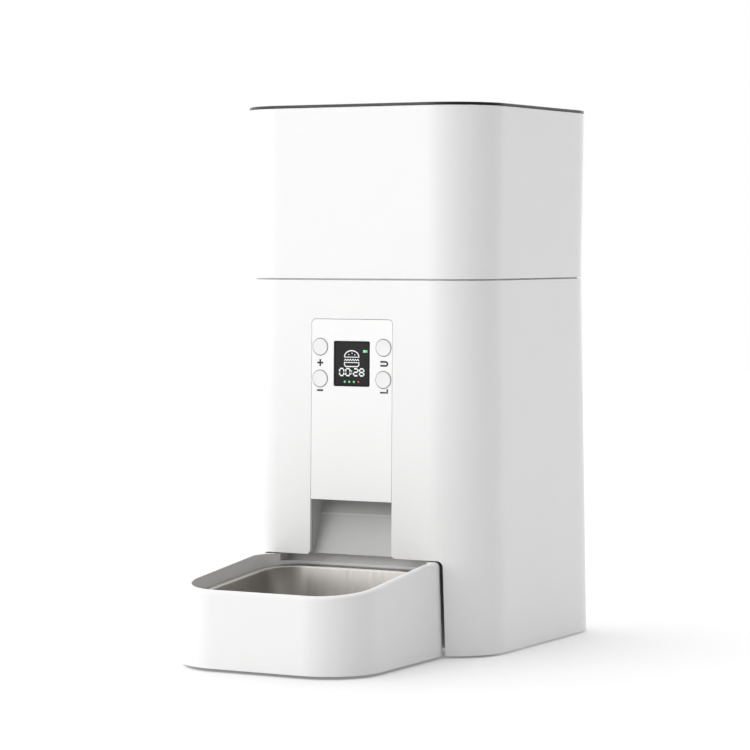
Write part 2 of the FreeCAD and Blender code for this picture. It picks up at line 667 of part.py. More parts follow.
def make_power_parts():
    keep(box("main_board", ("-32", "86", "40"), ("32", "87.6", "100")), "main_board")
    centre = ("inlet_side", "inlet_height")
    barrel = cylinder("inlet_barrel", "inlet_radius", "12",
                      (centre[0], "base_depth / 2 - 12.4", centre[1]), TO_THE_BACK)
    block = box("inlet_block", (f"{centre[0]} - 6", "78", f"{centre[1]} - 6"),
                (f"{centre[0]} + 6", "92", f"{centre[1]} + 6"))
    bore = cylinder("inlet_bore_hole", "inlet_bore", "12",
                    (centre[0], "base_depth / 2 - 9.4", centre[1]), TO_THE_BACK)
    pin = cylinder("inlet_pin", "1", "10", (centre[0], "base_depth / 2 - 11", centre[1]),
                   TO_THE_BACK)
    hollow = cut("inlet_hollow", fuse("inlet_solid", barrel, block), bore)
    keep(fuse("dc_inlet", hollow, pin), "dc_inlet")


# ---- the gear train

IDLER_BACK = "(output_teeth + pinion_teeth) / 2 * gear_module + mesh_gap"
MOTOR_BACK = f"{IDLER_BACK} + (idler_teeth + pinion_teeth) / 2 * gear_module + mesh_gap"


def gear_face(teeth, phase, bore, height):
    """A spur gear's face with involute flanks; phase is the first tooth's direction."""
    module = number("gear_module")
    count = round(number(teeth))
    pitch_radius = module * count / 2
    base_radius = pitch_radius * math.cos(math.radians(20))
    tip_radius = pitch_radius + 0.85 * module
    root_radius = pitch_radius - 1.2 * module

    def involute(radius):
        pressure = math.acos(base_radius / radius)
        return math.tan(pressure) - pressure
    half_tooth = (math.pi / 2 - 0.16) / count + involute(pitch_radius)
    steps = [max(root_radius, base_radius) + share * (tip_radius - max(root_radius, base_radius))
             for share in (0, 0.5, 1)]
    flank = [(root_radius, half_tooth - involute(steps[0]) + 0.01)]
    flank += [(radius, half_tooth - involute(radius)) for radius in steps]
    outline = []
    for tooth in range(count):
        middle = math.radians(phase) + 2 * math.pi * tooth / count
        both = [(radius, middle - half) for radius, half in flank]
        both += [(radius, middle + half) for radius, half in reversed(flank)]
        outline += [Vector(radius * math.cos(angle), radius * math.sin(angle), height)
                    for radius, angle in both]
    face = Part.Face(Part.makePolygon(outline + outline[:1]))
    hole = Part.Face(Part.Wire(Part.makeCircle(bore, Vector(0, 0, height))))
    return face.cut(hole)


def gear(label, levels, back):
    """A wheel of one or more gears; each level is teeth, phase, low, high."""
    bore = number("shaft_radius" if label == "output_gear" else "axle_radius") + 0.03
    wheel = None
    for teeth, phase, low, high in levels:
        blank = gear_face(teeth, phase, bore, low).extrude(Vector(0, 0, high - low))
        wheel = blank if wheel is None else wheel.fuse(blank)
    item = doc.addObject("Part::Feature", label)
    item.Shape = wheel
    place(item, ("0", back, "0"))
    keep(item, label)


def make_gears():
    half_step = 180 / number("pinion_teeth")
    gear("output_gear", [("output_teeth", 90, 154.5, 159.5)], "0")
    gear("idler_gear", [("idler_teeth", 90, 147, 152), ("pinion_teeth", 270 + half_step, 152, 160.5)],
         IDLER_BACK)
    gear("motor_pinion_wheel", [("pinion_teeth", 270 + half_step, 146, 153)], MOTOR_BACK)
    wheel = pieces.pop()
    shaft = cylinder("motor_shaft", "axle_radius + 0.03", "32", ("0", MOTOR_BACK, "121"))
    bind(wheel, "Placement.Base.y", MOTOR_BACK)
    keep(fuse("motor_pinion", wheel, shaft), "motor_pinion")
    keep(cylinder("output_shaft", "shaft_radius", "46", ("0", "0", "141")), "output_shaft")
    keep(cylinder("idler_axle", "axle_radius", "25", ("0", IDLER_BACK, "140.6")), "idler_axle")
    can = cylinder("motor_body", "motor_radius", "motor_length",
                   ("0", MOTOR_BACK, "gearbox_low - motor_length - 0.1"))
    bore = cylinder("motor_bore", "axle_radius + 0.3", "22", ("0", MOTOR_BACK, "119"))
    keep(cut("motor_can", can, bore), "motor_can")


def make_gearbox():
    low = "gearbox_low"
    high = "gearbox_high"
    outer = box("gearbox_outer", ("-gearbox_half_width", "-gearbox_front", low),
                ("gearbox_half_width", "gearbox_back", high))
    inner = box("gearbox_inner", ("gearbox_wall - gearbox_half_width",
                                  "gearbox_wall - gearbox_front", f"{low} + 2.4"),
                ("gearbox_half_width - gearbox_wall", "gearbox_back - gearbox_wall", f"{high} + 1"))
    posts = [cylinder(f"gearbox_post_{x}_{y}", "2.8", f"{high} - {low} - 1", (x, y, f"{low} + 1"))
             for x, y in GEARBOX_CORNERS]
    pilots = [cylinder(f"gearbox_pilot_{x}_{y}", "pilot_radius", "30", (x, y, "150"))
              for x, y in GEARBOX_CORNERS]
    bearings = [cylinder("output_bearing", "shaft_radius + running_gap", "12", ("0", "0", "138")),
                cylinder("idler_seat", "axle_radius + 0.02", "12", ("0", IDLER_BACK, "138")),
                cylinder("motor_hole", "axle_radius + 0.4", "12", ("0", MOTOR_BACK, "138"))]
    shell = cut("gearbox_shell", outer, inner)
    keep(cut("gearbox_housing", fuse("gearbox_posted", shell, *posts), *pilots, *bearings),
         "gearbox_housing")
    plate = box("gearbox_plate", ("-gearbox_half_width", "-gearbox_front", f"{high} + 0.05"),
                ("gearbox_half_width", "gearbox_back", f"{high} + cover_thickness"))
    holes = [cylinder(f"cover_screw_hole_{x}_{y}", "1.3", "12", (x, y, "160"))
             for x, y in GEARBOX_CORNERS]
    shaft_holes = [cylinder("cover_output", "shaft_radius + running_gap", "12", ("0", "0", "160")),
                   cylinder("cover_idler", "axle_radius + 0.02", "12", ("0", IDLER_BACK, "160"))]
    keep(cut("gearbox_cover", plate, *holes, *shaft_holes), "gearbox_cover")
    screws = []
    for x, y in GEARBOX_CORNERS:
        head = cylinder(f"gearbox_head_{x}_{y}", "2.4", "1.5",
                        (x, y, "tub_floor + tub_floor_thickness + 0.05"))
        shank = cylinder(f"gearbox_shank_{x}_{y}", "screw_radius", "16", (x, y, "153"))
        screws.append(fuse(f"gearbox_screw_{x}_{y}", head, shank))
    keep(group("gearbox_screws", screws), "gearbox_screws")


def make_coupling():
    """A six-sided cam that trips the portion switch, with the hexagon that turns the impeller."""
    cam = hexagon("coupling_cam", "22", "2.8", ("0", "0", "169.2"))
    driver = hexagon("coupling_driver", "hex_flats - 0.6", "16.5", ("0", "0", "171.5"))
    bore = cylinder("coupling_bore", "shaft_radius + 0.02", "30", ("0", "0", "168"))
    keep(cut("drive_coupling", fuse("coupling_solid", cam, driver), bore), "drive_coupling")
    switch = box("portion_switch_case", ("17", "-10", "168.6"), ("24", "10", "174.6"))
    lever = box("portion_switch_lever", ("14.2", "-8", "169.6"), ("14.8", "8", "172"))
    arm = box("portion_switch_arm", ("14.2", "-8", "169.6"), ("17.5", "-7", "172"))
    keep(fuse("portion_switch", switch, lever, arm), "portion_switch")


# ---- hopper

def make_hopper_shell():
    body = new_body("hopper_body")
    tapered(body, "AdditiveLoft", hopper_outline(HOPPER_BOTTOM, "0"), HOPPER_BOTTOM,
            hopper_outline(HOPPER_TOP, "0"), HOPPER_TOP)
    ledge = "seam_height + 3.3"
    tapered(body, "SubtractiveLoft", hopper_outline(ledge, "wall"), ledge,
            hopper_outline(HOPPER_TOP, "wall"), HOPPER_TOP)
    spigot = "wall + lift_gap"
    extrude(body, "Pad", rectangle_at(body, base_outline(BASE_TOP, spigot), "tub_rim + close_gap"),
            "seam_height + 2 - tub_rim - close_gap")
    inner = base_outline(BASE_TOP, f"{spigot} + 2")
    extrude(body, "Pocket", rectangle_at(body, inner, f"{ledge} + 1"), "20")
    notch = box("finger_notch", ("-20", "rim_depth / 2 - 6", "feeder_height - 8"),
                ("20", "rim_depth / 2 + 4", "feeder_height"))
    keep(cut("hopper_shell", body, notch), "hopper_shell")


def make_hopper_funnel():
    body = new_body("hopper_funnel")
    round_size = "2 * (chamber_radius + chamber_wall)"
    low = (round_size, round_size, f"{round_size} / 2 - 0.1")
    low_inner = (f"{round_size} - 2 * funnel_wall", f"{round_size} - 2 * funnel_wall",
                 f"{round_size} / 2 - funnel_wall - 0.1")
    bottom = "chamber_rim + 0.1"
    tapered(body, "AdditiveLoft", low, bottom,
            hopper_outline("funnel_top", "wall + 0.3"), "funnel_top")
    tapered(body, "SubtractiveLoft", low_inner, bottom,
            hopper_outline("funnel_top", "wall + 0.3 + funnel_wall"), "funnel_top")
    keep(body, "hopper_funnel")


def make_metering_chamber():
    outer = cylinder("chamber_outer", "chamber_radius + chamber_wall",
                     "chamber_rim - chamber_floor", ("0", "0", "chamber_floor"))
    inner = cylinder("chamber_inner", "chamber_radius", "60",
                     ("0", "0", "chamber_floor + chamber_floor_thickness"))
    spout = box("spout_outer", ("-drop_half_width - 1.8", "-drop_front - 1.8", "169.5"),
                ("drop_half_width + 1.8", "1.8 - drop_back", "chamber_floor + 1"))
    hole = box("spout_hole", ("-drop_half_width", "-drop_front", "160"),
               ("drop_half_width", "-drop_back", "chamber_floor + 5"))
    hub_hole = cylinder("chamber_hub_hole", "foot_hole", "12", ("0", "0", "chamber_floor - 4"))
    solid = fuse("chamber_solid", cut("chamber_cup", outer, inner), spout)
    keep(cut("metering_chamber", solid, hole, hub_hole), "metering_chamber")


def make_impeller():
    hub = cylinder("impeller_hub", "hub_radius", "hub_high - vane_low", ("0", "0", "vane_low"))
    foot = cylinder("impeller_foot", "foot_radius", "vane_low - foot_low + 1",
                    ("0", "0", "foot_low"))
    vanes = []
    for index in range(round(number("vane_count"))):
        vane = doc.addObject("Part::Box", f"vane_{index}")
        bind(vane, "Length", "vane_radius - hub_radius + 2")
        bind(vane, "Width", "vane_thickness")
        bind(vane, "Height", "vane_high - vane_low")
        turn = Rotation(Vector(0, 0, 1), 360 * index / number("vane_count"))
        start = turn.multVec(Vector(number("hub_radius - 2"), -number("vane_thickness") / 2,
                                    number("vane_low")))
        vane.Placement = FreeCAD.Placement(start, turn)
        vanes.append(vane)
    socket = hexagon("impeller_socket", "hex_flats", "foot_low + 16 - foot_low + 1",
                     ("0", "0", "foot_low - 1"))
    thread = cylinder("impeller_thread", "pilot_radius", "20", ("0", "0", "hub_high - 12"))
    keep(cut("impeller", fuse("impeller_solid", hub, foot, *vanes), socket, thread), "impeller")


def make_agitator():
    hub = cylinder("agitator_hub", "agitator_radius", "8.6", ("0", "0", "agitator_low"))
    arm = box("agitator_arm", ("-finger_reach", "-2.5", "agitator_low + 5.2"),
              ("finger_reach", "2.5", "agitator_low + 8.6"))
    fingers = [cylinder(f"agitator_finger_{x}", "2.4", "finger_high - agitator_low - 5.2",
                        (f"{x} * finger_reach", "0", "agitator_low + 5.2")) for x in (-1, 1)]
    bore = cylinder("agitator_bore", "1.4", "20", ("0", "0", "agitator_low - 2"))
    keep(cut("agitator", fuse("agitator_solid", hub, arm, *fingers), bore), "agitator")
    head = cylinder("agitator_screw_head", "2.8", "1.8", ("0", "0", "agitator_low + 8.65"))
    shank = cylinder("agitator_screw_shank", "screw_radius", "18",
                     ("0", "0", "agitator_low - 9"))
    keep(fuse("agitator_screw", head, shank), "agitator_screw")


def make_baffle():
    disc = cylinder("baffle_disc", "chamber_radius - 0.2", "baffle_thickness",
                    ("0", "0", "baffle_low"))
    reach = box("baffle_reach", ("-27", "-60", "baffle_low - 1"), ("27", "-13", "baffle_low + 4"))
    keep(common("baffle_plate", disc, reach), "baffle_plate")
    strips = [box(f"wiper_{x}", (f"{x} * 25 - 1", "-42", "vane_high + 0.5"),
                  (f"{x} * 25 + 1", "-14", "baffle_low - 0.05")) for x in (-1, 1)]
    keep(group("silicone_wiper", strips), "silicone_wiper")


# ---- lid

def make_lid():
    body = new_body("lid_body")
    low = "feeder_height - lid_thickness"
    tapered(body, "AdditiveLoft", hopper_outline(low, "0"), low,
            hopper_outline("feeder_height", "0"), "feeder_height")
    spigot = hopper_outline("feeder_height - 10", "wall + 1.6")
    inner = hopper_outline("feeder_height - 10", "wall + 3.4")
    extrude(body, "Pad", rectangle_at(body, spigot, "feeder_height - 10"), "9.3")
    extrude(body, "Pocket", rectangle_at(body, inner, low), "20")
    keep(body, "lid_cover")

    seal = new_body("seal_body")
    bottom = "feeder_height - 9.4"
    extrude(seal, "Pad", rectangle_at(seal, hopper_outline(bottom, "wall + 0.35"), bottom), "2.2")
    extrude(seal, "Pocket", rectangle_at(seal, hopper_outline(bottom, "wall + 1.5"), f"{bottom} + 5"),
            "10")
    keep(seal, "lid_seal")

    holder = slab("holder_outer", ("62", "46", "8"), "feeder_height - 15", f"{low} - 0.05")
    room = slab("holder_room", ("58.4", "42.4", "6.2"), "feeder_height - 20", f"{low} - 1.6")
    keep(cut("desiccant_holder", holder, room), "desiccant_holder")
    grille = slab("grille_plate", ("58", "42", "6"), "feeder_height - 15", "feeder_height - 13.6")
    slots = [box(f"grille_slot_{index}", (f"{index} * 7 - 1.6", "-15", "feeder_height - 20"),
                 (f"{index} * 7 + 1.6", "15", "feeder_height - 10")) for index in range(-3, 4)]
    keep(cut("desiccant_grille", grille, *slots), "desiccant_grille")
    keep(slab("desiccant_bag", ("52", "36", "5"), "feeder_height - 13", "feeder_height - 4"),
         "desiccant_bag")


# ---- food tray and bowl

def below_top(label, drop, width="200"):
    """Everything below the tray's sloping top surface, lowered by a drop."""
    front = "-base_depth / 2 - tray_reach - 20"
    front_height = f"tray_crest - tray_slope * (-slope_start - ({front}))"
    return side_prism(label, [
        (front, "-10"), ("0", "-10"), ("0", f"tray_crest - ({drop})"),
        ("-slope_start", f"tray_crest - ({drop})"), (front, f"{front_height} - ({drop})"),
    ], width)


def make_food_tray():
    middle = ("0", "-base_depth / 2 - tray_reach + tray_length / 2")
    top = "tray_low + 62"

    def form(label, inset):
        body = new_body(label)
        low_size = (f"tray_width - 2 * ({inset})", f"tray_length - 2 * ({inset})",
                    f"tray_corner - ({inset})")
        high_size = (f"tray_width - 2 * ({inset} + tray_draft)",
                     f"tray_length - 2 * ({inset} + tray_draft)",
                     f"tray_corner - ({inset}) - tray_draft")
        tapered(body, "AdditiveLoft", low_size, "tray_low", high_size, top, middle)
        return body
    block = common("tray_block", form("tray_form", "0"), below_top("tray_top", "0"))
    doc.recompute()
    softened = soften_tray_top(block)
    bowl_place = ("0", "-bowl_middle")
    room = common("tray_room", form("tray_room_form", "tray_wall"), below_top("tray_under", "2.2"))
    well_plan = slab("bowl_well_plan", ("bowl_width + 2 * (bowl_rim + well_wall)",
                                        "bowl_length + 2 * (bowl_rim + well_wall)",
                                        "bowl_corner + bowl_rim + well_wall"), "20", "80", bowl_place)
    well = cut("bowl_well", well_plan, below_ledge("bowl_well_floor", "tray_wall"))
    backing = box("landing_backing", ("-landing_half - well_wall", "-landing_lip - 8", "50"),
                  ("landing_half + well_wall", "well_wall - landing_back", "80"))
    shell = cut("tray_shell", softened, cut("tray_hollow", room, well, backing))
    opening = slab("bowl_opening", ("bowl_width + 1.2", "bowl_length + 1.2", "bowl_corner + 0.6"),
                   "10", "80", bowl_place)
    rebate_plan = slab("bowl_rebate_plan", ("bowl_width + 2 * bowl_rim + 0.8",
                                            "bowl_length + 2 * bowl_rim + 0.8",
                                            "bowl_corner + bowl_rim + 0.4"), "30", "80", bowl_place)
    rebate = cut("bowl_rebate", rebate_plan, below_ledge("bowl_rebate_floor", "0"))
    landing = side_prism("landing", [
        ("0.6 - base_depth / 2", "landing_low"), ("-landing_lip", "landing_low"),
        ("-landing_back", "tray_crest + 0.5"), ("-landing_back", "80"),
        ("0.6 - base_depth / 2", "80"),
    ], "2 * landing_half")
    keep(cut("food_tray", shell, opening, rebate, landing), "food_tray")


def below_ledge(label, drop):
    """Everything below the sloping ledge that the bowl's rim lies on, lowered by a drop."""
    front = "-base_depth / 2 - tray_reach - 20"
    height = "ledge_height + bowl_slope * (bowl_middle + ({})) - ({})"
    return side_prism(label, [
        (front, "-10"), ("-60", "-10"), ("-60", height.format("-60", drop)),
        (front, height.format(front, drop)),
    ], "220")


def soften_tray_top(block):
    """Round the outer edge of the tray's top."""
    shape = block.Shape
    crest = number("tray_crest")
    slope = number("tray_slope")
    start = -number("slope_start")
    edges = []
    for index, edge in enumerate(shape.Edges, start=1):
        on_top = all(
            abs(point.z - (crest - slope * max(0, start - point.y))) < 0.02
            for point in edge.discretize(5))
        across = max(abs(point.x) for point in edge.discretize(5)) - min(
            abs(point.x) for point in edge.discretize(5))
        if on_top and not (across > 60 and abs(edge.CenterOfMass.y - start) < 0.1):
            edges.append((index, number("tray_round"), number("tray_round")))
    fillet = doc.addObject("Part::Fillet", "tray_softened")
    fillet.Base = block
    fillet.Edges = edges
    return fillet


def make_bowl():
    """A pressed dish whose rim lies on the tray's ledge; it is drawn flat, then tilted."""
    dish = drawn_dish("bowl_body", "0", "bowl_depth", "bowl_round", "0")
    rim = rectangle_at(dish, ("bowl_width + 2 * bowl_rim", "bowl_length + 2 * bowl_rim",
                              "bowl_corner + bowl_rim"), "-bowl_sheet")
    extrude(dish, "Pad", rim, "bowl_sheet")
    room = drawn_dish("bowl_room", "bowl_sheet", "bowl_depth - bowl_sheet",
                      "bowl_round - bowl_sheet", "0")
    bowl = cut("bowl", dish, room)
    tilt = math.degrees(math.atan(number("bowl_slope")))
    height = "ledge_height + bowl_sheet + 0.05"
    place(bowl, ("0", "-bowl_middle", height), Rotation(Vector(1, 0, 0), tilt))
    keep(bowl, "bowl")


def drawn_dish(label, inset, depth, radius, top):
    """A rounded rectangle drawn down with a draft, its foot rounded."""
    body = new_body(label)
    size = (f"bowl_width - 2 * ({inset})", f"bowl_length - 2 * ({inset})",
            f"bowl_corner - ({inset})")
    wall = extrude(body, "Pad", rectangle_at(body, size, top), depth, reverse=True)
    bind(wall, "TaperAngle", "-atan(bowl_draft / bowl_depth)")
    doc.recompute()
    foot = body.newObject("PartDesign::Fillet", label + "_round")
    foot.Base = (wall, foot_edges(wall.Shape, -number(depth)))
    bind(foot, "Radius", radius)
    return body


def foot_edges(shape, height):
    return [f"Edge{index}" for index, edge in enumerate(shape.Edges, start=1)
            if all(abs(point.z - height) < 0.01 for point in edge.discretize(4))]


# ---- the whole feeder

MAKERS = (
    make_base_shell, make_front_panel, make_display, make_buttons, make_control_board,
    make_inner_tub, make_chute, make_tray_bay, make_bottom_cover, make_batteries,
    make_power_parts, make_gears, make_gearbox, make_coupling, make_hopper_shell,
    make_hopper_funnel, make_metering_chamber, make_impeller, make_agitator, make_baffle,
    make_lid, make_food_tray, make_bowl,
)


def check(items):
    for item in items:
        if "Invalid" in item.State or "Error" in item.State:
            raise RuntimeError(f"{item.Label} did not compute: {item.State}")
    for piece in pieces:
        if piece.Shape.isNull() or not piece.Shape.isValid() or not piece.Shape.Solids:
            raise RuntimeError(f"{piece.Label} has no valid solid")


for maker in MAKERS:
    maker()
doc.recompute()
check(doc.Objects)
os.makedirs("parts", exist_ok=True)
for piece in pieces:
    piece.Shape.exportStep(f"parts/{piece.Label}.step")
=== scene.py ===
"""An automatic pet feeder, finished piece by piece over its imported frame.

Each operator makes one piece, or one group of like pieces, in metres and in the frame's own
place. The panel in the sidebar lists them in the order in which they are made.
"""
import math

import bmesh
import bpy
from bpy.props import FloatProperty, FloatVectorProperty, PointerProperty
from mathutils import Matrix, Vector


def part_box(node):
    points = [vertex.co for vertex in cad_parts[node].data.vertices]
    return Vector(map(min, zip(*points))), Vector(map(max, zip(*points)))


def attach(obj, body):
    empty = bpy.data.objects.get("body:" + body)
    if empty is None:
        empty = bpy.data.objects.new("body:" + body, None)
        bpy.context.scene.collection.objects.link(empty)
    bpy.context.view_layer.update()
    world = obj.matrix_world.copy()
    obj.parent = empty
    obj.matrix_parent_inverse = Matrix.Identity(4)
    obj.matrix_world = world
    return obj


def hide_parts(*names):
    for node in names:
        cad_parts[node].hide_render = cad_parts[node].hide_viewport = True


bl_info = {
    "name": "Automatic Pet Feeder",
    "version": (1, 0, 0),
    "blender": (4, 5, 0),
    "location": "View3D > Sidebar > Feeder",
    "description": "Builds the visible pieces of an automatic pet feeder over its frame",
    "category": "Add Mesh",
}

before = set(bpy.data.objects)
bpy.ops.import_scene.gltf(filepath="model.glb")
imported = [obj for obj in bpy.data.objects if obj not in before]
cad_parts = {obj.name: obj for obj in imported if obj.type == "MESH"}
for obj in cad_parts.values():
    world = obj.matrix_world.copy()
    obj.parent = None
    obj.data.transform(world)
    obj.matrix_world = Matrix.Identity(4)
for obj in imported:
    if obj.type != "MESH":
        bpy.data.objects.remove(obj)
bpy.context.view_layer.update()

MM = 0.001
FLOOR_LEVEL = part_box("base_shell")[0].z
HOUSING_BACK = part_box("base_shell")[1].y
SEAM_GAP = 1.0
SEAM_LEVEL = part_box("base_shell")[1].z + SEAM_GAP / 2 * MM
LID_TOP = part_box("lid_cover")[1].z
TRAY_LOW, TRAY_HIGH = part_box("food_tray")
OVER_TRAY = 80 * MM
SHARP = math.radians(32)


# ---- sizes and colours that a user may change

def length(name, description, millimetres):
    return FloatProperty(name=name, description=description, default=millimetres * MM,
                         unit="LENGTH", precision=4)


def colour(name, description, *shade):
    return FloatVectorProperty(name=name, description=description, default=shade, size=3,
                               subtype="COLOR", min=0.0, max=1.0)


class FeederHousingSizes(bpy.types.PropertyGroup):
    foot_width: length("Width at the foot", "Housing width over the floor", 188.2)
    foot_depth: length("Depth at the foot", "Housing depth over the floor", 193.2)
    foot_corner: length("Corner at the foot", "Corner radius at the foot", 39.2)
    seam_width: length("Width at the seam", "Housing width at the seam", 181.4)
    seam_depth: length("Depth at the seam", "Housing depth at the seam", 186.4)
    seam_corner: length("Corner at the seam", "Corner radius at the seam", 35.8)
    rim_width: length("Width at the rim", "Housing width at the lid", 185.2)
    rim_depth: length("Depth at the rim", "Housing depth at the lid", 190.2)
    rim_corner: length("Corner at the rim", "Corner radius at the lid", 37.7)
    wall: length("Wall", "Thickness of the moulded walls", 2.4)
    seam_gap: length("Seam gap", "Open gap between base and hopper", SEAM_GAP)
    lid_plate: length("Lid plate", "Thickness of the lid's edge", 1.7)
    lid_gap: length("Lid gap", "Gap between lid and hopper", 0.2)
    edge_round: length("Edge rounding", "Rounding of the housing's moulded edges", 0.45)


class FeederStripSizes(bpy.types.PropertyGroup):
    width: length("Width", "Width of the strip's opening", 60.0)
    top: length("Top", "Height of the strip's top", 215.5)
    foot: length("Foot", "Height of the strip's foot", 97.6)
    corner: length("Corner", "Radius of the strip's top corners", 3.0)
    groove: length("Groove", "Gap round the strip", 0.25)
    window_width: length("Window width", "Width of the display window", 26.5)
    window_height: length("Window height", "Height of the display window", 29.3)
    window_middle: length("Window middle", "Height of its middle", 186.5)
    button_radius: length("Button radius", "Radius of the four button caps", 5.35)
    button_hole: length("Button hole", "Radius of the holes for the button caps", 5.75)
    button_side: length("Button side", "Distance of the buttons from the middle", 23.4)
    button_high: length("Upper buttons", "Height of the two upper buttons", 197.2)
    button_low: length("Lower buttons", "Height of the two lower buttons", 176.5)


class FeederTraySizes(bpy.types.PropertyGroup):
    width: length("Width", "Width of the tray at its foot", 136.0)
    depth: length("Depth", "Depth of the tray at its foot", 146.0)
    corner: length("Corner", "Corner radius at the tray's foot", 36.0)
    draft: length("Draft", "How far the sides lean in", 2.1)
    crest: length("Crest", "Height of the tray's flat back", 61.0)
    slope: FloatProperty(name="Slope", description="Fall of the tray's top forwards",
                         default=0.113)
    rounding: length("Rounding", "Rounding of the tray's top edge", 2.6)
    wall: length("Wall", "Thickness of the tray's wall", 2.2)
    ledge: length("Ledge", "Height of the bowl's ledge at its middle", 47.8)
    bowl_slope: FloatProperty(name="Bowl slope", description="Fall of the bowl's ledge forwards",
                              default=0.094)
    bowl_width: length("Bowl width", "Width of the bowl inside", 111.6)
    bowl_depth: length("Bowl length", "Front to back size of the bowl inside", 112.6)
    bowl_corner: length("Bowl corner", "Corner radius of the bowl inside", 22.0)
    bowl_rim: length("Bowl rim", "Width of the bowl's flat rim", 6.0)
    bowl_drop: length("Bowl drop", "How deep the bowl is", 34.0)
    bowl_sheet: length("Bowl sheet", "Thickness of the bowl's sheet", 0.8)


class FeederColours(bpy.types.PropertyGroup):
    housing: colour("Housing", "Moulded housing plastic", 0.925, 0.925, 0.922)
    tray: colour("Tray", "Moulded tray plastic", 0.885, 0.885, 0.882)
    lid: colour("Lid", "Dark lid plastic", 0.018, 0.018, 0.02)
    inner: colour("Inside", "Plastic of the parts inside", 0.62, 0.62, 0.61)
    window: colour("Window", "Dark pane over the display", 0.016, 0.0155, 0.0163)
    steel: colour("Steel", "Stainless steel of the bowl", 0.56, 0.54, 0.515)
    ink: colour("Ink", "Printed symbols beside the buttons", 0.012, 0.012, 0.012)
    segment: colour("Segments", "Lit digits and pictogram", 0.93, 0.94, 0.95)
    ready: colour("Ready lights", "Green dots and battery sign", 0.16, 0.7, 0.3)
    empty: colour("Empty light", "Red dot", 0.5, 0.06, 0.06)


class FeederStudio(bpy.types.PropertyGroup):
    lens: FloatProperty(name="Lens", description="Focal length of the camera", default=141.8,
                        unit="CAMERA")
    turn: FloatProperty(name="Turn", description="Camera's turn to the right",
                        default=math.radians(28.5), subtype="ANGLE", unit="ROTATION")
    drop: FloatProperty(name="Drop", description="Downward shift of the frame", default=-0.1723)
    sky_bright: FloatProperty(name="Bright side", description="Sky strength on the lit side",
                              default=1.45, min=0.0)
    sky_dim: FloatProperty(name="Dim side", description="Sky strength on the shaded side",
                           default=0.02, min=0.0)
    key_power: FloatProperty(name="Key", description="Power of the soft light at the front",
                             default=8.5, min=0.0)
    floor_glow: FloatProperty(name="Floor glow", description="How far the paper floor is lifted",
                              default=0.16, min=0.0)


GROUPS = {
    "feeder_housing": FeederHousingSizes, "feeder_strip": FeederStripSizes,
    "feeder_tray": FeederTraySizes, "feeder_colours": FeederColours,
    "feeder_studio": FeederStudio,
}


# ---- mesh work shared by the pieces

def level(height, y):
    return height(y) if callable(height) else height


def mixed(low, high, part):
    return low + (high - low) * part


def arc(centre, radius_x, radius_z, start, end, steps=12):
    """Points along an elliptical arc, from one angle in degrees to another."""
    points = []
    for step in range(steps + 1):
        angle = math.radians(mixed(start, end, step / steps))
        points.append((centre[0] + radius_x * math.cos(angle),
                       centre[1] + radius_z * math.sin(angle)))
    return points


def round_corner(centre, radius, start, turn):
    return arc(centre, radius, radius, start, start + turn, 6)


def rounded_loop(width, depth, corner, middle, height, steps=16):
    """Points round a rounded rectangle, anticlockwise seen from above."""
    loop = []
    sides = ((1, 1), (-1, 1), (-1, -1), (1, -1))
    for quarter, (across, along) in enumerate(sides):
        centre_x = middle[0] + across * (width / 2 - corner)
        centre_y = middle[1] + along * (depth / 2 - corner)
        for step in range(steps + 1):
            angle = math.radians(90) * (quarter + step / steps)
            x = centre_x + corner * math.cos(angle)
            y = centre_y + corner * math.sin(angle)
            loop.append(Vector((x, y, level(height, y))))
    return loop


def moved_to(height, loop):
    """The same outline, laid flat at another height."""
    return [Vector((point.x, point.y, height)) for point in loop]


def upright(loop, depth_at):
    """Turn a flat loop up on to the front wall: its y becomes height, and depth_at gives y."""
    return [Vector((point.x, depth_at(point.y), point.y)) for point in loop]


def wall_slab(name, loop, near, far):
    """A slab that follows the leaning front wall, from near to far behind its face."""
    return stacked(name, [upright(loop, lambda z: front_face(z) + near),
                          upright(loop, lambda z: front_face(z) + far)])


def placed(name, data):
    thing = bpy.data.objects.new(name, data)
    bpy.context.scene.collection.objects.link(thing)
    return thing


def new_piece(name, form):
    bmesh.ops.remove_doubles(form, verts=form.verts, dist=1e-7)
    bmesh.ops.recalc_face_normals(form, faces=form.faces)
    mesh = bpy.data.meshes.new(name)
    form.to_mesh(mesh)
    form.free()
    return placed(name, mesh)


def stacked(name, loops, ring=False, capped=True):
    """Join a stack of equal loops with faces, and close its two ends."""
    form = bmesh.new()
    rows = [[form.verts.new(point) for point in loop] for loop in loops]
    upper_rows = rows[1:] + rows[:1] if ring else rows[1:]
    for lower, upper in zip(rows, upper_rows):
        for index, corner in enumerate(lower):
            after = (index + 1) % len(lower)
            form.faces.new((corner, lower[after], upper[after], upper[index]))
    if capped and not ring:
        form.faces.new(tuple(reversed(rows[0])))
        form.faces.new(rows[-1])
    return new_piece(name, form)


def prism(name, outline, low, high, axis):
    """A straight block with the given outline, along x or along y or along z."""
    def point(a, b, along):
        return {"x": (along, a, b), "y": (a, along, b), "z": (a, b, along)}[axis]
    loops = [[Vector(point(a, b, along)) for a, b in outline] for along in (low, high)]
    return stacked(name, loops)


def block(name, low, high):
    outline = ((low[0], low[1]), (high[0], low[1]), (high[0], high[1]), (low[0], high[1]))
    return prism(name, outline, low[2], high[2], "z")


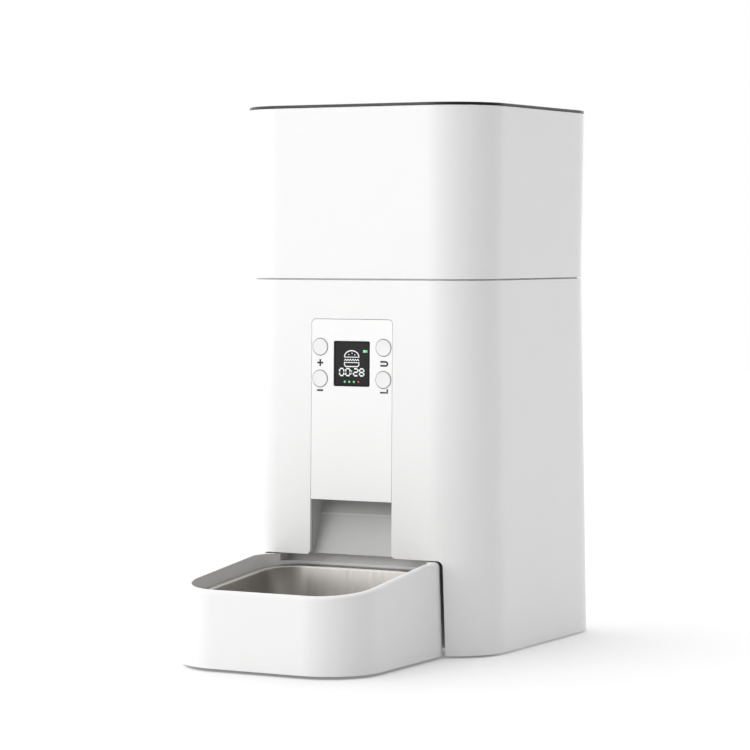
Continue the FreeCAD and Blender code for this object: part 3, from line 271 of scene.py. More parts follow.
def turned(name, profile, centre, axis="y", steps=48):
    """A lathed piece: profile holds (radius, place along the axis) from one end to the other."""
    form = bmesh.new()
    rows = []
    for radius, along in profile:
        row = []
        for step in range(steps):
            angle = 2 * math.pi * step / steps
            a, b = radius * math.cos(angle), radius * math.sin(angle)
            offset = {"x": (along, a, b), "y": (a, along, b), "z": (a, b, along)}[axis]
            row.append(form.verts.new(Vector(centre) + Vector(offset)))
        rows.append(row)
    for lower, upper in zip(rows, rows[1:]):
        for index in range(steps):
            after = (index + 1) % steps
            form.faces.new((lower[index], lower[after], upper[after], upper[index]))
    form.faces.new(rows[0])
    form.faces.new(rows[-1])
    return new_piece(name, form)


def settle(piece):
    """Make the modifiers' result the piece's own mesh."""
    graph = bpy.context.evaluated_depsgraph_get()
    graph.update()
    settled = bpy.data.meshes.new_from_object(piece.evaluated_get(graph))
    before = piece.data
    piece.modifiers.clear()
    piece.data = settled
    settled.name = piece.name
    if before.users == 0:
        bpy.data.meshes.remove(before)
    return piece


def combined(piece, other, operation):
    step = piece.modifiers.new("combine", "BOOLEAN")
    step.operation = operation
    step.solver = "EXACT"
    step.object = other
    settle(piece)
    bpy.data.objects.remove(other)
    if not piece.data.polygons:
        raise RuntimeError(f"{piece.name} came out empty")
    return piece


def carve(piece, *cutters):
    for cutter in cutters:
        combined(piece, cutter, "DIFFERENCE")
    return piece


def soften(piece, width, segments=2, angle=SHARP):
    step = piece.modifiers.new("soften", "BEVEL")
    step.width = width
    step.segments = segments
    step.limit_method = "ANGLE"
    step.angle_limit = angle
    step.use_clamp_overlap = True
    step.miter_outer = "MITER_ARC"
    return settle(piece)


def smooth(piece, angle=SHARP):
    """Shade the piece smoothly, with flat faces kept flat beside their rounded edges."""
    piece.data.shade_smooth()
    piece.data.set_sharp_from_angle(angle=angle)
    step = piece.modifiers.new("even", "WEIGHTED_NORMAL")
    step.keep_sharp = True
    return settle(piece)


def joined(name, pieces):
    """One object from several."""
    form = bmesh.new()
    for piece in pieces:
        before = len(form.verts)
        form.from_mesh(piece.data)
        form.verts.ensure_lookup_table()
        for vert in form.verts[before:]:
            vert.co = piece.matrix_world @ vert.co
    mesh = bpy.data.meshes.new(name)
    form.to_mesh(mesh)
    form.free()
    whole = placed(name, mesh)
    for piece in pieces:
        bpy.data.objects.remove(piece)
    return whole


def fit(piece, body, finish_name, *nodes, slot=None):
    """Give a finished piece its material, its body and the frame's parts that it stands for."""
    piece.data.materials.clear()
    piece.data.materials.append(finish(finish_name))
    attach(piece, body)
    if nodes:
        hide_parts(*nodes)
    return piece


# ---- where the surfaces stand

def housing():
    return bpy.context.scene.feeder_housing


def strip():
    return bpy.context.scene.feeder_strip


def tray_sizes():
    return bpy.context.scene.feeder_tray


def housing_middle():
    return (0.0, HOUSING_BACK - housing().foot_depth / 2)


def base_loop(height, inset=0.0):
    """The base's outline at a height; it narrows evenly from the foot to the seam."""
    sizes = housing()
    part = (height - FLOOR_LEVEL) / (SEAM_LEVEL - FLOOR_LEVEL)
    width = mixed(sizes.foot_width, sizes.seam_width, part) - 2 * inset
    depth = mixed(sizes.foot_depth, sizes.seam_depth, part) - 2 * inset
    corner = mixed(sizes.foot_corner, sizes.seam_corner, part) - inset
    return rounded_loop(width, depth, corner, housing_middle(), height)


def hopper_loop(height, inset=0.0):
    """The hopper's outline at a height; it widens evenly from the seam to the lid."""
    sizes = housing()
    part = (height - SEAM_LEVEL) / (LID_TOP - SEAM_LEVEL)
    width = mixed(sizes.seam_width, sizes.rim_width, part) - 2 * inset
    depth = mixed(sizes.seam_depth, sizes.rim_depth, part) - 2 * inset
    corner = mixed(sizes.seam_corner, sizes.rim_corner, part) - inset
    return rounded_loop(width, depth, corner, housing_middle(), height)


def front_face(height):
    """Where the front wall's outer face stands, at a height."""
    sizes = housing()
    part = (height - FLOOR_LEVEL) / (SEAM_LEVEL - FLOOR_LEVEL)
    return housing_middle()[1] - mixed(sizes.foot_depth, sizes.seam_depth, part) / 2


def tray_middle():
    return (0.0, (TRAY_LOW.y + TRAY_HIGH.y) / 2)


def slope_start():
    return front_face(FLOOR_LEVEL) - 16.4 * MM


def tray_top(y):
    sizes = tray_sizes()
    return sizes.crest - sizes.slope * max(0.0, slope_start() - y)


def bowl_middle():
    return front_face(FLOOR_LEVEL) - 50.7 * MM


def ledge(y):
    """The sloping ledge that the bowl's rim lies on."""
    sizes = tray_sizes()
    return sizes.ledge + sizes.bowl_slope * (y - bowl_middle())


# ---- finishes

def colours():
    return bpy.context.scene.feeder_colours


def started(name, shade, roughness, metallic=0.0):
    """A new material with its even values set on the shader itself."""
    material = bpy.data.materials.new(name)
    material.use_nodes = True
    tree = material.node_tree
    shader = tree.nodes["Principled BSDF"]
    shader.inputs["Base Color"].default_value = (*shade, 1.0)
    shader.inputs["Roughness"].default_value = roughness
    shader.inputs["Metallic"].default_value = metallic
    return material, tree, shader


def added(tree, kind, **values):
    node = tree.nodes.new(kind)
    for name, value in values.items():
        if name in node.inputs:
            node.inputs[name].default_value = value
        else:
            setattr(node, name, value)
    return node


def grain(tree, size, detail=2.0, stretch=(1.0, 1.0, 1.0)):
    """Cloudy variation of a given size in millimetres, pulled out along an axis if wanted."""
    place = added(tree, "ShaderNodeTexCoord")
    pull = added(tree, "ShaderNodeMapping")
    pull.inputs["Scale"].default_value = stretch
    cloud = added(tree, "ShaderNodeTexNoise", Scale=1 / (size * MM), Detail=detail)
    tree.links.new(place.outputs["Object"], pull.inputs["Vector"])
    tree.links.new(pull.outputs["Vector"], cloud.inputs["Vector"])
    return cloud.outputs["Fac"]


def vary_shade(tree, shader, fac, shade, other):
    mix = added(tree, "ShaderNodeMix", data_type="RGBA")
    tree.links.new(fac, mix.inputs["Factor"])
    for socket, value in zip([s for s in mix.inputs if s.type == "RGBA"], (shade, other)):
        socket.default_value = (*value, 1.0)
    result = next(s for s in mix.outputs if s.type == "RGBA")
    tree.links.new(result, shader.inputs["Base Color"])
    return result


def remapped(tree, source, span, result, **kind):
    """A value's span laid over another span."""
    scale = added(tree, "ShaderNodeMapRange", **kind)
    for name, value in zip(("From Min", "From Max", "To Min", "To Max"), (*span, *result)):
        scale.inputs[name].default_value = value
    tree.links.new(source, scale.inputs["Value"])
    return scale.outputs["Result"]


def vary_roughness(tree, shader, fac, low, high):
    tree.links.new(remapped(tree, fac, (0.3, 0.7), (low, high)), shader.inputs["Roughness"])


def raise_surface(tree, shader, fac, depth, strength=0.5):
    """Bump of a given depth in millimetres."""
    bump = added(tree, "ShaderNodeBump", Strength=strength, Distance=depth * MM)
    tree.links.new(fac, bump.inputs["Height"])
    tree.links.new(bump.outputs["Normal"], shader.inputs["Normal"])


def tinted(shade, factor):
    return tuple(min(1.0, part * factor) for part in shade)


def moulded(name, shade, roughness, mottle=0.012, texture=0.5, depth=0.012):
    """Injection-moulded plastic: fine spark-eroded texture, faint flow clouds, uneven gloss."""
    material, tree, shader = started(name, shade, roughness)
    vary_shade(tree, shader, grain(tree, 38, 3), tinted(shade, 1 - mottle),
               tinted(shade, 1 + mottle))
    vary_roughness(tree, shader, grain(tree, 9, 4), roughness - 0.05, roughness + 0.06)
    raise_surface(tree, shader, grain(tree, texture, 3), depth)
    return material


def pressed_steel(name, shade, roughness, stretch):
    """Drawn stainless steel, finely streaked along its drawing direction; the light and dark
    streaks in its colour are partly the drawn grain and partly painted reflection.
    """
    material, tree, shader = started(name, shade, roughness, 1.0)
    streaks_and_reflection = grain(tree, 2.2, 4, stretch)
    vary_shade(tree, shader, streaks_and_reflection, tinted(shade, 0.86), tinted(shade, 1.08))
    vary_roughness(tree, shader, streaks_and_reflection, roughness - 0.06, roughness + 0.08)
    raise_surface(tree, shader, grain(tree, 1.1, 3, stretch), 0.01, 0.35)
    return material


def dark_pane(name, shade):
    """A hard-coated dark pane with faint wipe marks in its gloss."""
    material, tree, shader = started(name, shade, 0.16)
    shader.inputs["Specular IOR Level"].default_value = 0.12
    vary_shade(tree, shader, grain(tree, 14, 2), tinted(shade, 0.94), tinted(shade, 1.06))
    vary_roughness(tree, shader, grain(tree, 5, 4, (1.0, 1.0, 0.25)), 0.12, 0.2)
    return material


def lit(name, shade, glow):
    """A lit part of the display: its light falls off a little unevenly."""
    material, tree, shader = started(name, shade, 0.5)
    shader.inputs["Emission Strength"].default_value = glow
    cloud = grain(tree, 1.2, 1)
    vary_shade(tree, shader, cloud, tinted(shade, 0.94), tinted(shade, 1.04))
    shader.inputs["Emission Color"].default_value = (*shade, 1.0)
    return material


def printed_ink(name, shade):
    """Pad-printed ink: thin, slightly uneven, with soft gloss."""
    material, tree, shader = started(name, shade, 0.5)
    vary_shade(tree, shader, grain(tree, 0.8, 2), shade, tinted(shade, 1.6))
    vary_roughness(tree, shader, grain(tree, 0.5, 2), 0.42, 0.6)
    return material


def circuit_board(name):
    """Green solder mask over a net of fine tracks."""
    material, tree, shader = started(name, (0.02, 0.14, 0.05), 0.35)
    place = added(tree, "ShaderNodeTexCoord")
    cells = added(tree, "ShaderNodeTexVoronoi", feature="DISTANCE_TO_EDGE", Scale=240.0)
    tree.links.new(place.outputs["Object"], cells.inputs["Vector"])
    edge = remapped(tree, cells.outputs["Distance"], (0.04, 0.1), (1.0, 0.0))
    vary_shade(tree, shader, edge, (0.015, 0.12, 0.045), (0.05, 0.26, 0.1))
    raise_surface(tree, shader, edge, 0.05)
    return material


def cell_skin(name):
    """Printed shrink sleeve: a copper-toned end band and a dark body."""
    material, tree, shader = started(name, (0.05, 0.05, 0.06), 0.3)
    place = added(tree, "ShaderNodeTexCoord")
    split = added(tree, "ShaderNodeSeparateXYZ")
    band = added(tree, "ShaderNodeMath", operation="GREATER_THAN")
    band.inputs[1].default_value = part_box("batteries")[1].y - 16 * MM
    tree.links.new(place.outputs["Object"], split.inputs["Vector"])
    tree.links.new(split.outputs["Y"], band.inputs[0])
    vary_shade(tree, shader, band.outputs["Value"], (0.03, 0.03, 0.035), (0.55, 0.26, 0.1))
    vary_roughness(tree, shader, grain(tree, 4, 3), 0.22, 0.36)
    return material


def woven_cloth(name, shade):
    """A plain weave of threads about half a millimetre wide."""
    material, tree, shader = started(name, shade, 0.85)
    shader.inputs["Sheen Weight"].default_value = 0.25
    place = added(tree, "ShaderNodeTexCoord")
    threads = []
    for direction in ("X", "Y"):
        wave = added(tree, "ShaderNodeTexWave", bands_direction=direction, Scale=320.0,
                     Distortion=0.6)
        tree.links.new(place.outputs["Object"], wave.inputs["Vector"])
        threads.append(wave)
    weave = added(tree, "ShaderNodeMath", operation="MAXIMUM")
    for socket, wave in zip(weave.inputs, threads):
        tree.links.new(wave.outputs["Fac"], socket)
    vary_shade(tree, shader, weave.outputs["Value"], tinted(shade, 0.72), shade)
    raise_surface(tree, shader, weave.outputs["Value"], 0.15)
    return material


FINISHES = {
    "housing_white": lambda name: moulded(name, colours().housing, 0.38),
    "panel_white": lambda name: moulded(name, tinted(colours().housing, 1.04), 0.36),
    "button_white": lambda name: moulded(name, tinted(colours().housing, 0.98), 0.42,
                                         depth=0.008),
    "tray_white": lambda name: moulded(name, colours().tray, 0.42, depth=0.006),
    # The chute is the housing white darkened to two thirds: painted shade for the outlet's
    # recess.
    "chute_white": lambda name: moulded(name, tinted(colours().housing, 0.66), 0.5),
    "cover_white": lambda name: moulded(name, tinted(colours().housing, 0.97), 0.5,
                                        texture=0.8, depth=0.03),
    "inner_grey": lambda name: moulded(name, colours().inner, 0.5),
    "lid_dark": lambda name: moulded(name, colours().lid, 0.3, mottle=0.15,
                                     texture=0.7, depth=0.02),
    "impeller_plastic": lambda name: moulded(name, (0.5, 0.52, 0.55), 0.42),
    "gear_nylon": lambda name: moulded(name, (0.74, 0.72, 0.64), 0.48, mottle=0.03),
    "part_black": lambda name: moulded(name, (0.02, 0.02, 0.021), 0.45, mottle=0.12),
    "silicone": lambda name: moulded(name, (0.55, 0.56, 0.57), 0.6, mottle=0.04, texture=0.9),
    "foot_rubber": lambda name: moulded(name, (0.05, 0.05, 0.052), 0.8, mottle=0.2,
                                        texture=0.6, depth=0.05),
    # Its tall vertical streaks are partly drawn grain and partly painted reflection streaks.
    "bowl_steel": lambda name: pressed_steel(name, colours().steel, 0.42,
                                             (1.0, 1.0, 0.08)),
    "steel": lambda name: pressed_steel(name, (0.6, 0.6, 0.6), 0.3, (1.0, 1.0, 1.0)),
    "motor_metal": lambda name: pressed_steel(name, (0.5, 0.5, 0.5), 0.34, (1.0, 1.0, 0.1)),
    "board_green": lambda name: circuit_board(name),
    "cell_skin": lambda name: cell_skin(name),
    "desiccant_cloth": lambda name: woven_cloth(name, (0.72, 0.72, 0.7)),
    "window_black": lambda name: dark_pane(name, colours().window),
    "window_border": lambda name: dark_pane(name, (0.004, 0.004, 0.004)),
    # Dark rings set into the gaps round the buttons: painted shadow where the gaps fall in shade.
    "button_gap_shadow": lambda name: moulded(name, (0.09, 0.09, 0.09), 0.7),
    "symbol_ink": lambda name: printed_ink(name, colours().ink),
    "lit_white": lambda name: lit(name, colours().segment, 0.1),
    "lit_green": lambda name: lit(name, colours().ready, 0.25),
    "lit_pale_green": lambda name: lit(name, (0.45, 0.85, 0.55), 0.25),
    "lit_red": lambda name: lit(name, colours().empty, 0.1),
}


def finish(name):
    """The finish of that name, made once and kept apart from the frame's plain materials."""
    title = "finished_" + name
    if title not in bpy.data.materials:
        FINISHES[name](title)
    return bpy.data.materials[title]


# ---- the pieces

class FEEDER_OT_stage(bpy.types.Operator):
    """Lay the paper floor, hang the soft light and stand the camera"""
    bl_idname = "feeder.stage"
    bl_label = "Stage"

    def execute(self, context):
        context.scene.view_settings.view_transform = "Standard"
        studio = context.scene.feeder_studio
        stand_camera(context, studio)
        lay_floor(studio)
        light_sky(context, studio)
        hang_key_light(studio.key_power)
        return {"FINISHED"}


def stand_camera(context, studio):
    lens = bpy.data.cameras.new("camera")
    lens.lens = studio.lens
    lens.sensor_width = 36.0
    lens.shift_y = studio.drop
    lens.clip_start = 0.05
    lens.clip_end = 60.0
    camera = placed("camera", lens)
    camera.location = (0.9270, -1.7098, 0.263)
    camera.rotation_euler = (math.radians(90), 0.0, studio.turn)
    context.scene.camera = camera


def lay_floor(studio):
    reach, thickness = 4.0, 0.01
    corners = [(x * reach, y * reach) for x, y in ((1, 1), (-1, 1), (-1, -1), (1, -1))]
    floor = stacked("paper_floor", [[Vector((x, y, height)) for x, y in corners]
                                    for height in (0.0, -thickness)])
    material, tree, shader = started("paper", (0.8, 0.8, 0.8), 0.9)
    shader.inputs["Emission Color"].default_value = (1.0, 1.0, 1.0, 1.0)
    shader.inputs["Emission Strength"].default_value = studio.floor_glow
    vary_shade(tree, shader, grain(tree, 60, 2), (0.79, 0.79, 0.79), (0.81, 0.81, 0.81))
    floor.data.materials.append(material)


def light_sky(context, studio):
    """An even sky, brighter at the back and on the left, with plain white paper behind."""
    world = bpy.data.worlds.new("studio_sky")
    world.use_nodes = True
    tree = world.node_tree
    sky = tree.nodes["Background"]
    sky.inputs["Color"].default_value = (1.0, 1.0, 1.0, 1.0)
    place = added(tree, "ShaderNodeTexCoord")
    lean = added(tree, "ShaderNodeVectorMath", operation="DOT_PRODUCT")
    lean.inputs[1].default_value = (-0.85, 0.35, 0.4)
    tree.links.new(place.outputs["Generated"], lean.inputs[0])
    strength = remapped(tree, lean.outputs["Value"], (-0.75, 0.45),
                        (studio.sky_dim, studio.sky_bright), interpolation_type="SMOOTHSTEP")
    tree.links.new(strength, sky.inputs["Strength"])
    paper = added(tree, "ShaderNodeBackground")
    paper.inputs["Color"].default_value = (1.0, 1.0, 1.0, 1.0)
    sight = added(tree, "ShaderNodeLightPath")
    choice = added(tree, "ShaderNodeMixShader")
    tree.links.new(sight.outputs["Is Camera Ray"], choice.inputs[0])
    tree.links.new(sky.outputs[0], choice.inputs[1])
    tree.links.new(paper.outputs[0], choice.inputs[2])
    tree.links.new(choice.outputs[0], tree.nodes["World Output"].inputs["Surface"])
    context.scene.world = world


def hang_key_light(power):
    """A broad soft light in front, somewhat to the left."""
    lamp = bpy.data.lights.new("key_light", "AREA")
    lamp.size = 1.2
    lamp.energy = power
    light = placed("key_light", lamp)
    light.location = (-1.2, -2.6, 0.7)
    aim = Vector((0.0, 0.0, 0.15)) - light.location
    light.rotation_euler = aim.to_track_quat("-Z", "Y").to_euler()


class FEEDER_OT_base(bpy.types.Operator):
    """Mould the base's housing, with the openings for the strip, the outlet and the tray"""
    bl_idname = "feeder.base"
    bl_label = "Base housing"

    def execute(self, context):
        sizes = housing()
        low, high = FLOOR_LEVEL, SEAM_LEVEL - sizes.seam_gap / 2
        shell = stacked("base_housing", [base_loop(low), base_loop(high)])
        cavity = stacked("cavity", [base_loop(low - 2 * MM, sizes.wall),
                                    base_loop(high + 2 * MM, sizes.wall)])
        carve(shell, cavity, front_opening(), tray_opening(), socket_hole())
        soften(shell, sizes.edge_round, 3)
        smooth(shell)
        whole = joined("base_housing", [shell, *screw_bosses()])
        fit(whole, "base", "housing_white", "base_shell")
        return {"FINISHED"}


def front_opening():
    """One upright opening for the strip and, below it, the outlet."""
    sizes = strip()
    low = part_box("tray_bay")[1].z - 10 * MM
    loop = rounded_loop(sizes.width, sizes.top - low, sizes.corner, (0.0, (sizes.top + low) / 2),
                        0.0, 6)
    near, far = front_face(FLOOR_LEVEL) - 3 * MM, front_face(FLOOR_LEVEL) + 12 * MM
    return stacked("front_opening", [upright(loop, lambda height: near),
                                     upright(loop, lambda height: far)])


def tray_opening():
    """The wide cut-out that the tray slides into, with its top corners rounded."""
    top, half, corner = 61.8 * MM, 66.35 * MM, 4 * MM
    foot_half, below = half + 2.2 * MM, -5 * MM
    outlet_round = 3 * MM
    outlet = strip().width / 2 + outlet_round
    outline = [(-foot_half, below)]
    outline += round_corner((-half + corner, top - corner), corner, 180, -90)
    outline += round_corner((-outlet, top + outlet_round), outlet_round, -90, 90)
    outline += round_corner((outlet, top + outlet_round), outlet_round, 180, 90)
    outline += round_corner((half - corner, top - corner), corner, 90, -90)
    outline.append((foot_half, below))
    near, far = front_face(FLOOR_LEVEL) - 3 * MM, front_face(FLOOR_LEVEL) + 30 * MM
    return prism("tray_opening", outline, near, far, "y")


def socket_hole():
    low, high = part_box("dc_inlet")
    centre = (low + high) / 2
    profile = ((4.4 * MM, -0.03), (4.4 * MM, 0.03))
    return turned("socket_hole", profile, (centre.x, HOUSING_BACK, centre.z), steps=32)


def screw_bosses():
    """The posts inside the housing that take the screws of the tub and of the bottom cover."""
    posts = []
    for x in (-1, 1):
        for y in (-1, 1):
            centre = (x * 76.5 * MM, housing_middle()[1] + y * 79.0 * MM, 0.0)
            profile = ((4 * MM, 0.205), (4 * MM, 0.2284), (1.25 * MM, 0.2284), (1.25 * MM, 0.213))
            posts.append(turned("post", profile, centre, "z", 24))
    for x, y, radius in ((87.5, -50.0, 5), (78.6, 81.1, 4)):
        for side in (-1, 1):
            centre = (side * x * MM, housing_middle()[1] + y * MM, 0.0)
            profile = ((1.25 * MM, 0.018), (1.25 * MM, 0.0047), (radius * MM, 0.0047),
                       (radius * MM, 0.0287))
            posts.append(turned("post", profile, centre, "z", 24))
    return [smooth(post) for post in posts]


class FEEDER_OT_hopper(bpy.types.Operator):
    """Mould the hopper's housing, with the spigot that drops into the base"""
    bl_idname = "feeder.hopper"
    bl_label = "Hopper housing"

    def execute(self, context):
        sizes = housing()
        low = SEAM_LEVEL + sizes.seam_gap / 2
        high = LID_TOP - sizes.lid_plate - sizes.lid_gap
        step = SEAM_LEVEL + 3.3 * MM
        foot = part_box("hopper_shell")[0].z
        spigot = sizes.wall + 0.4 * MM
        base_top = SEAM_LEVEL - sizes.seam_gap / 2
        inner = base_loop(base_top, spigot + 2 * MM)
        outer = base_loop(base_top, spigot)
        shell = stacked("hopper_housing", [
            hopper_loop(low), hopper_loop(high), hopper_loop(high, sizes.wall),
            hopper_loop(step, sizes.wall), moved_to(step, inner), moved_to(foot, inner),
            moved_to(foot, outer), moved_to(low, outer),
        ], ring=True)
        notch_low = (-20 * MM, HOUSING_BACK - 7 * MM, LID_TOP - 8 * MM)
        notch_high = (20 * MM, HOUSING_BACK + 4 * MM, LID_TOP + 1 * MM)
        carve(shell, block("notch", notch_low, notch_high))
        soften(shell, sizes.edge_round, 3)
        smooth(shell)
        fit(shell, "hopper", "housing_white", "hopper_shell")
        return {"FINISHED"}


class FEEDER_OT_lid(bpy.types.Operator):
    """Mould the flat dark lid, with the spigot that carries its seal"""
    bl_idname = "feeder.lid"
    bl_label = "Lid"

    def execute(self, context):
        sizes = housing()
        plate = LID_TOP - sizes.lid_plate
        foot = LID_TOP - 10 * MM
        fillet = 0.5 * MM
        edge = 0.15 * MM
        outer = hopper_loop(foot, sizes.wall + 1.6 * MM)
        inner = hopper_loop(foot, sizes.wall + 3.4 * MM)
        cap = stacked("lid", [
            moved_to(plate, inner), inner, outer, moved_to(plate, outer),
            hopper_loop(plate), hopper_loop(LID_TOP - fillet), hopper_loop(LID_TOP - edge, edge),
            hopper_loop(LID_TOP, fillet), hopper_loop(LID_TOP, 6 * MM),
            hopper_loop(LID_TOP - 0.4 * MM, 6.6 * MM),
        ])
        smooth(cap)
        fit(cap, "lid", "lid_dark", "lid_cover")
        return {"FINISHED"}


class FEEDER_OT_strip(bpy.types.Operator):
    """Mould the control strip that carries the display window and the buttons"""
    bl_idname = "feeder.strip"
    bl_label = "Control strip"

    def execute(self, context):
        sizes = strip()
        half = sizes.width / 2 - sizes.groove
        top = sizes.top - sizes.groove
        foot = sizes.foot + sizes.groove
        corner = sizes.corner - sizes.groove
        outline = [(-half, foot), (half, foot)]
        outline += round_corner((half - corner, top - corner), corner, 0, 90)
        outline += round_corner((-half + corner, top - corner), corner, 90, 90)
        loop = [Vector((x, height, 0.0)) for x, height in outline]
        plate = wall_slab("control_strip", loop, 0.0, housing().wall + 0.3 * MM)
        window = rounded_loop(sizes.window_width + 0.1 * MM, sizes.window_height + 0.1 * MM,
                              1 * MM, (0.0, sizes.window_middle), 0.0, 6)
        holes = [wall_slab("window_hole", window, -5 * MM, 8 * MM)]
        for x, z in button_places():
            profile = ((sizes.button_hole, -6 * MM), (sizes.button_hole, 8 * MM))
            holes.append(turned("button_hole", profile, (x, front_face(z), z), steps=48))
        carve(plate, *holes)
        soften(plate, 0.3 * MM, 2)
        smooth(plate)
        fit(plate, "base", "panel_white", "front_panel")
        return {"FINISHED"}


def button_places():
    sizes = strip()
    return [(side * sizes.button_side, height)
            for side in (-1, 1) for height in (sizes.button_high, sizes.button_low)]


class FEEDER_OT_window(bpy.types.Operator):
    """Set the display's dark pane, with its black border"""
    bl_idname = "feeder.window"
    bl_label = "Display window"

    def execute(self, context):
        sizes = strip()
        border = 0.9 * MM
        pane = window_slab("display_pane", -border, 0.25 * MM, 1.5 * MM)
        fit(pane, "base", "window_black", "lcd_window")
        frame_piece = window_slab("display_border", 0.0, 0.1 * MM, 1.6 * MM)
        middle = rounded_loop(sizes.window_width - 2 * border, sizes.window_height - 2 * border,
                              0.6 * MM, (0.0, sizes.window_middle), 0.0, 6)
        carve(frame_piece, wall_slab("pane_hole", middle, -5 * MM, 8 * MM))
        soften(frame_piece, 0.12 * MM, 1)
        smooth(frame_piece)
        fit(frame_piece, "base", "window_border", slot="window_black")
        return {"FINISHED"}


def window_slab(name, grow, near, far):
    sizes = strip()
    loop = rounded_loop(sizes.window_width - 0.1 * MM + 2 * grow,
                        sizes.window_height - 0.1 * MM + 2 * grow, max(0.5 * MM, 1 * MM + grow),
                        (0.0, sizes.window_middle), 0.0, 6)
    return smooth(wall_slab(name, loop, near, far))


def stroked(name, paths, width, near):
    """Flat raised strokes along paths of (x, height) points, in front of the wall's face."""
    line = bpy.data.curves.new(name, "CURVE")
    line.dimensions = "3D"
    line.bevel_depth = width / 2
    line.bevel_resolution = 2
    line.use_fill_caps = True
    for closed, points in paths:
        spline = line.splines.new("POLY")
        spline.points.add(len(points) - 1)
        spline.use_cyclic_u = closed
        for target, (x, z) in zip(spline.points, points):
            target.co = (x, 0.0, z, 1.0)
    drawn = placed(name, line)
    graph = bpy.context.evaluated_depsgraph_get()
    graph.update()
    mesh = bpy.data.meshes.new_from_object(drawn.evaluated_get(graph))
    for vert in mesh.vertices:
        vert.co.y = front_face(vert.co.z) - near + vert.co.y * 0.12
    piece = placed(name, mesh)
    bpy.data.objects.remove(drawn)
    bpy.data.curves.remove(line)
    piece.data.shade_smooth()
    return piece


class FEEDER_OT_symbols(bpy.types.Operator):
    """Print the plus, minus, back and enter symbols below their buttons"""
    bl_idname = "feeder.symbols"
    bl_label = "Button symbols"

    def execute(self, context):
        left, right = -23.3 * MM, 23.8 * MM
        high, low = 186.9 * MM, 168.9 * MM
        plus = 2.2 * MM
        paths = [
            (False, [(left - plus, high), (left + plus, high)]),
            (False, [(left, high - plus), (left, high + plus)]),
            (False, [(left - plus, low), (left + plus, low)]),
        ]
        reach, rise = 2.6 * MM, 1.25 * MM
        bend = arc((right + reach - rise, high), rise, rise, 90, -90)
        paths.append((False, [(right - reach, high + rise), *bend, (right - reach, high - rise)]))
        paths.append((False, [(right - reach, low - 0.6 * MM), (right + reach, low - 0.6 * MM),
                              (right + reach, low + 1.6 * MM)]))
        marks = stroked("button_symbols", paths, 1.15 * MM, 0.1 * MM)
        fit(marks, "base", "symbol_ink", slot="panel_white")
        return {"FINISHED"}


BEHIND_PANE = -0.1 * MM
SEGMENTS = {"0": "abcdef", "2": "abged", "8": "abcdefg"}


def digit_paths(figure, left, foot, width, height):
    """The bars of one seven-bar figure."""
    gap = 0.12 * width
    right, top, middle = left + width, foot + height, foot + height / 2
    bars = {
        "a": ((left + gap, top), (right - gap, top)),
        "b": ((right, top - gap), (right, middle + gap)),
        "c": ((right, middle - gap), (right, foot + gap)),
        "d": ((left + gap, foot), (right - gap, foot)),
        "e": ((left, middle - gap), (left, foot + gap)),
        "f": ((left, top - gap), (left, middle + gap)),
        "g": ((left + gap, middle), (right - gap, middle)),
    }
    return [(False, list(bars[bar])) for bar in SEGMENTS[figure]]


class FEEDER_OT_reading(bpy.types.Operator):
    """Light the display: a food sign, the clock, the battery sign and four state dots"""
    bl_idname = "feeder.reading"
    bl_label = "Display reading"

    def execute(self, context):
        middle = strip().window_middle
        clock = []
        width, height, foot = 3.1 * MM, 4.5 * MM, middle - 7.7 * MM
        for left, figure in ((-8.9, "0"), (-4.3, "0"), (1.5, "2"), (5.9, "8")):
            clock += digit_paths(figure, left * MM, foot, width, height)
        for rise in (0.33, 0.67):
            spot = (-0.2 * MM, foot + height * rise)
            clock.append((False, [spot, (spot[0] + 0.5 * MM, spot[1])]))
        digits = stroked("clock_digits", clock, 0.95 * MM, BEHIND_PANE)
        fit(digits, "base", "lit_white", slot="window_black")
        sign = stroked("food_sign", food_sign(middle + 3.4 * MM), 0.75 * MM, BEHIND_PANE)
        fit(sign, "base", "lit_white", slot="window_black")
        cell = middle + 8.2 * MM
        for name, start, end, glow in (("battery_charge", 8.5, 9.7, "lit_pale_green"),
                                       ("battery_rest", 9.9, 11.5, "lit_green")):
            bar = stroked(name, [(False, [(start * MM, cell), (end * MM, cell)])], 1.7 * MM,
                          BEHIND_PANE)
            fit(bar, "base", glow, slot="window_black")
        for index, x in enumerate((-5.1, -1.75, 1.6, 5.0)):
            empty = index == 3
            profile = ((0.05 * MM, -0.06 * MM), (0.5 * MM, -0.04 * MM), (0.7 * MM, 0.0),
                       (0.7 * MM, 0.4 * MM))
            height = middle - 11.7 * MM
            dot = turned(f"state_dot_{index + 1}", profile,
                         (x * MM, front_face(height) + 0.2 * MM, height), steps=20)
            fit(smooth(dot), "base", "lit_red" if empty else "lit_green", slot="window_black")
        return {"FINISHED"}


def food_sign(height):
    """A plain outline of stacked food: a domed top, a wavy layer and a rounded foot."""
    half = 5.4 * MM
    dome = arc((0.0, height + 0.9 * MM), half, 4.2 * MM, 180, 0, 16)
    layer = [(x * half / 6, height - 0.9 * MM + (0.45 * MM if x % 2 else -0.45 * MM))
             for x in range(-6, 7)]
    foot = [(-half, height - 2.6 * MM), (half, height - 2.6 * MM),
            *arc((half - 1.6 * MM, height - 3.6 * MM), 1.6 * MM, 1.6 * MM, 0, -90, 5),
            *arc((-half + 1.6 * MM, height - 3.6 * MM), 1.6 * MM, 1.6 * MM, -90, -180, 5)]
    seeds = [(False, [(x * MM, height + z * MM), ((x + 0.5) * MM, height + (z + 0.25) * MM)])
             for x, z in ((-2.4, 2.4), (0.0, 3.3), (2.0, 2.3))]
    return [(True, dome), (False, layer), (True, foot), *seeds]


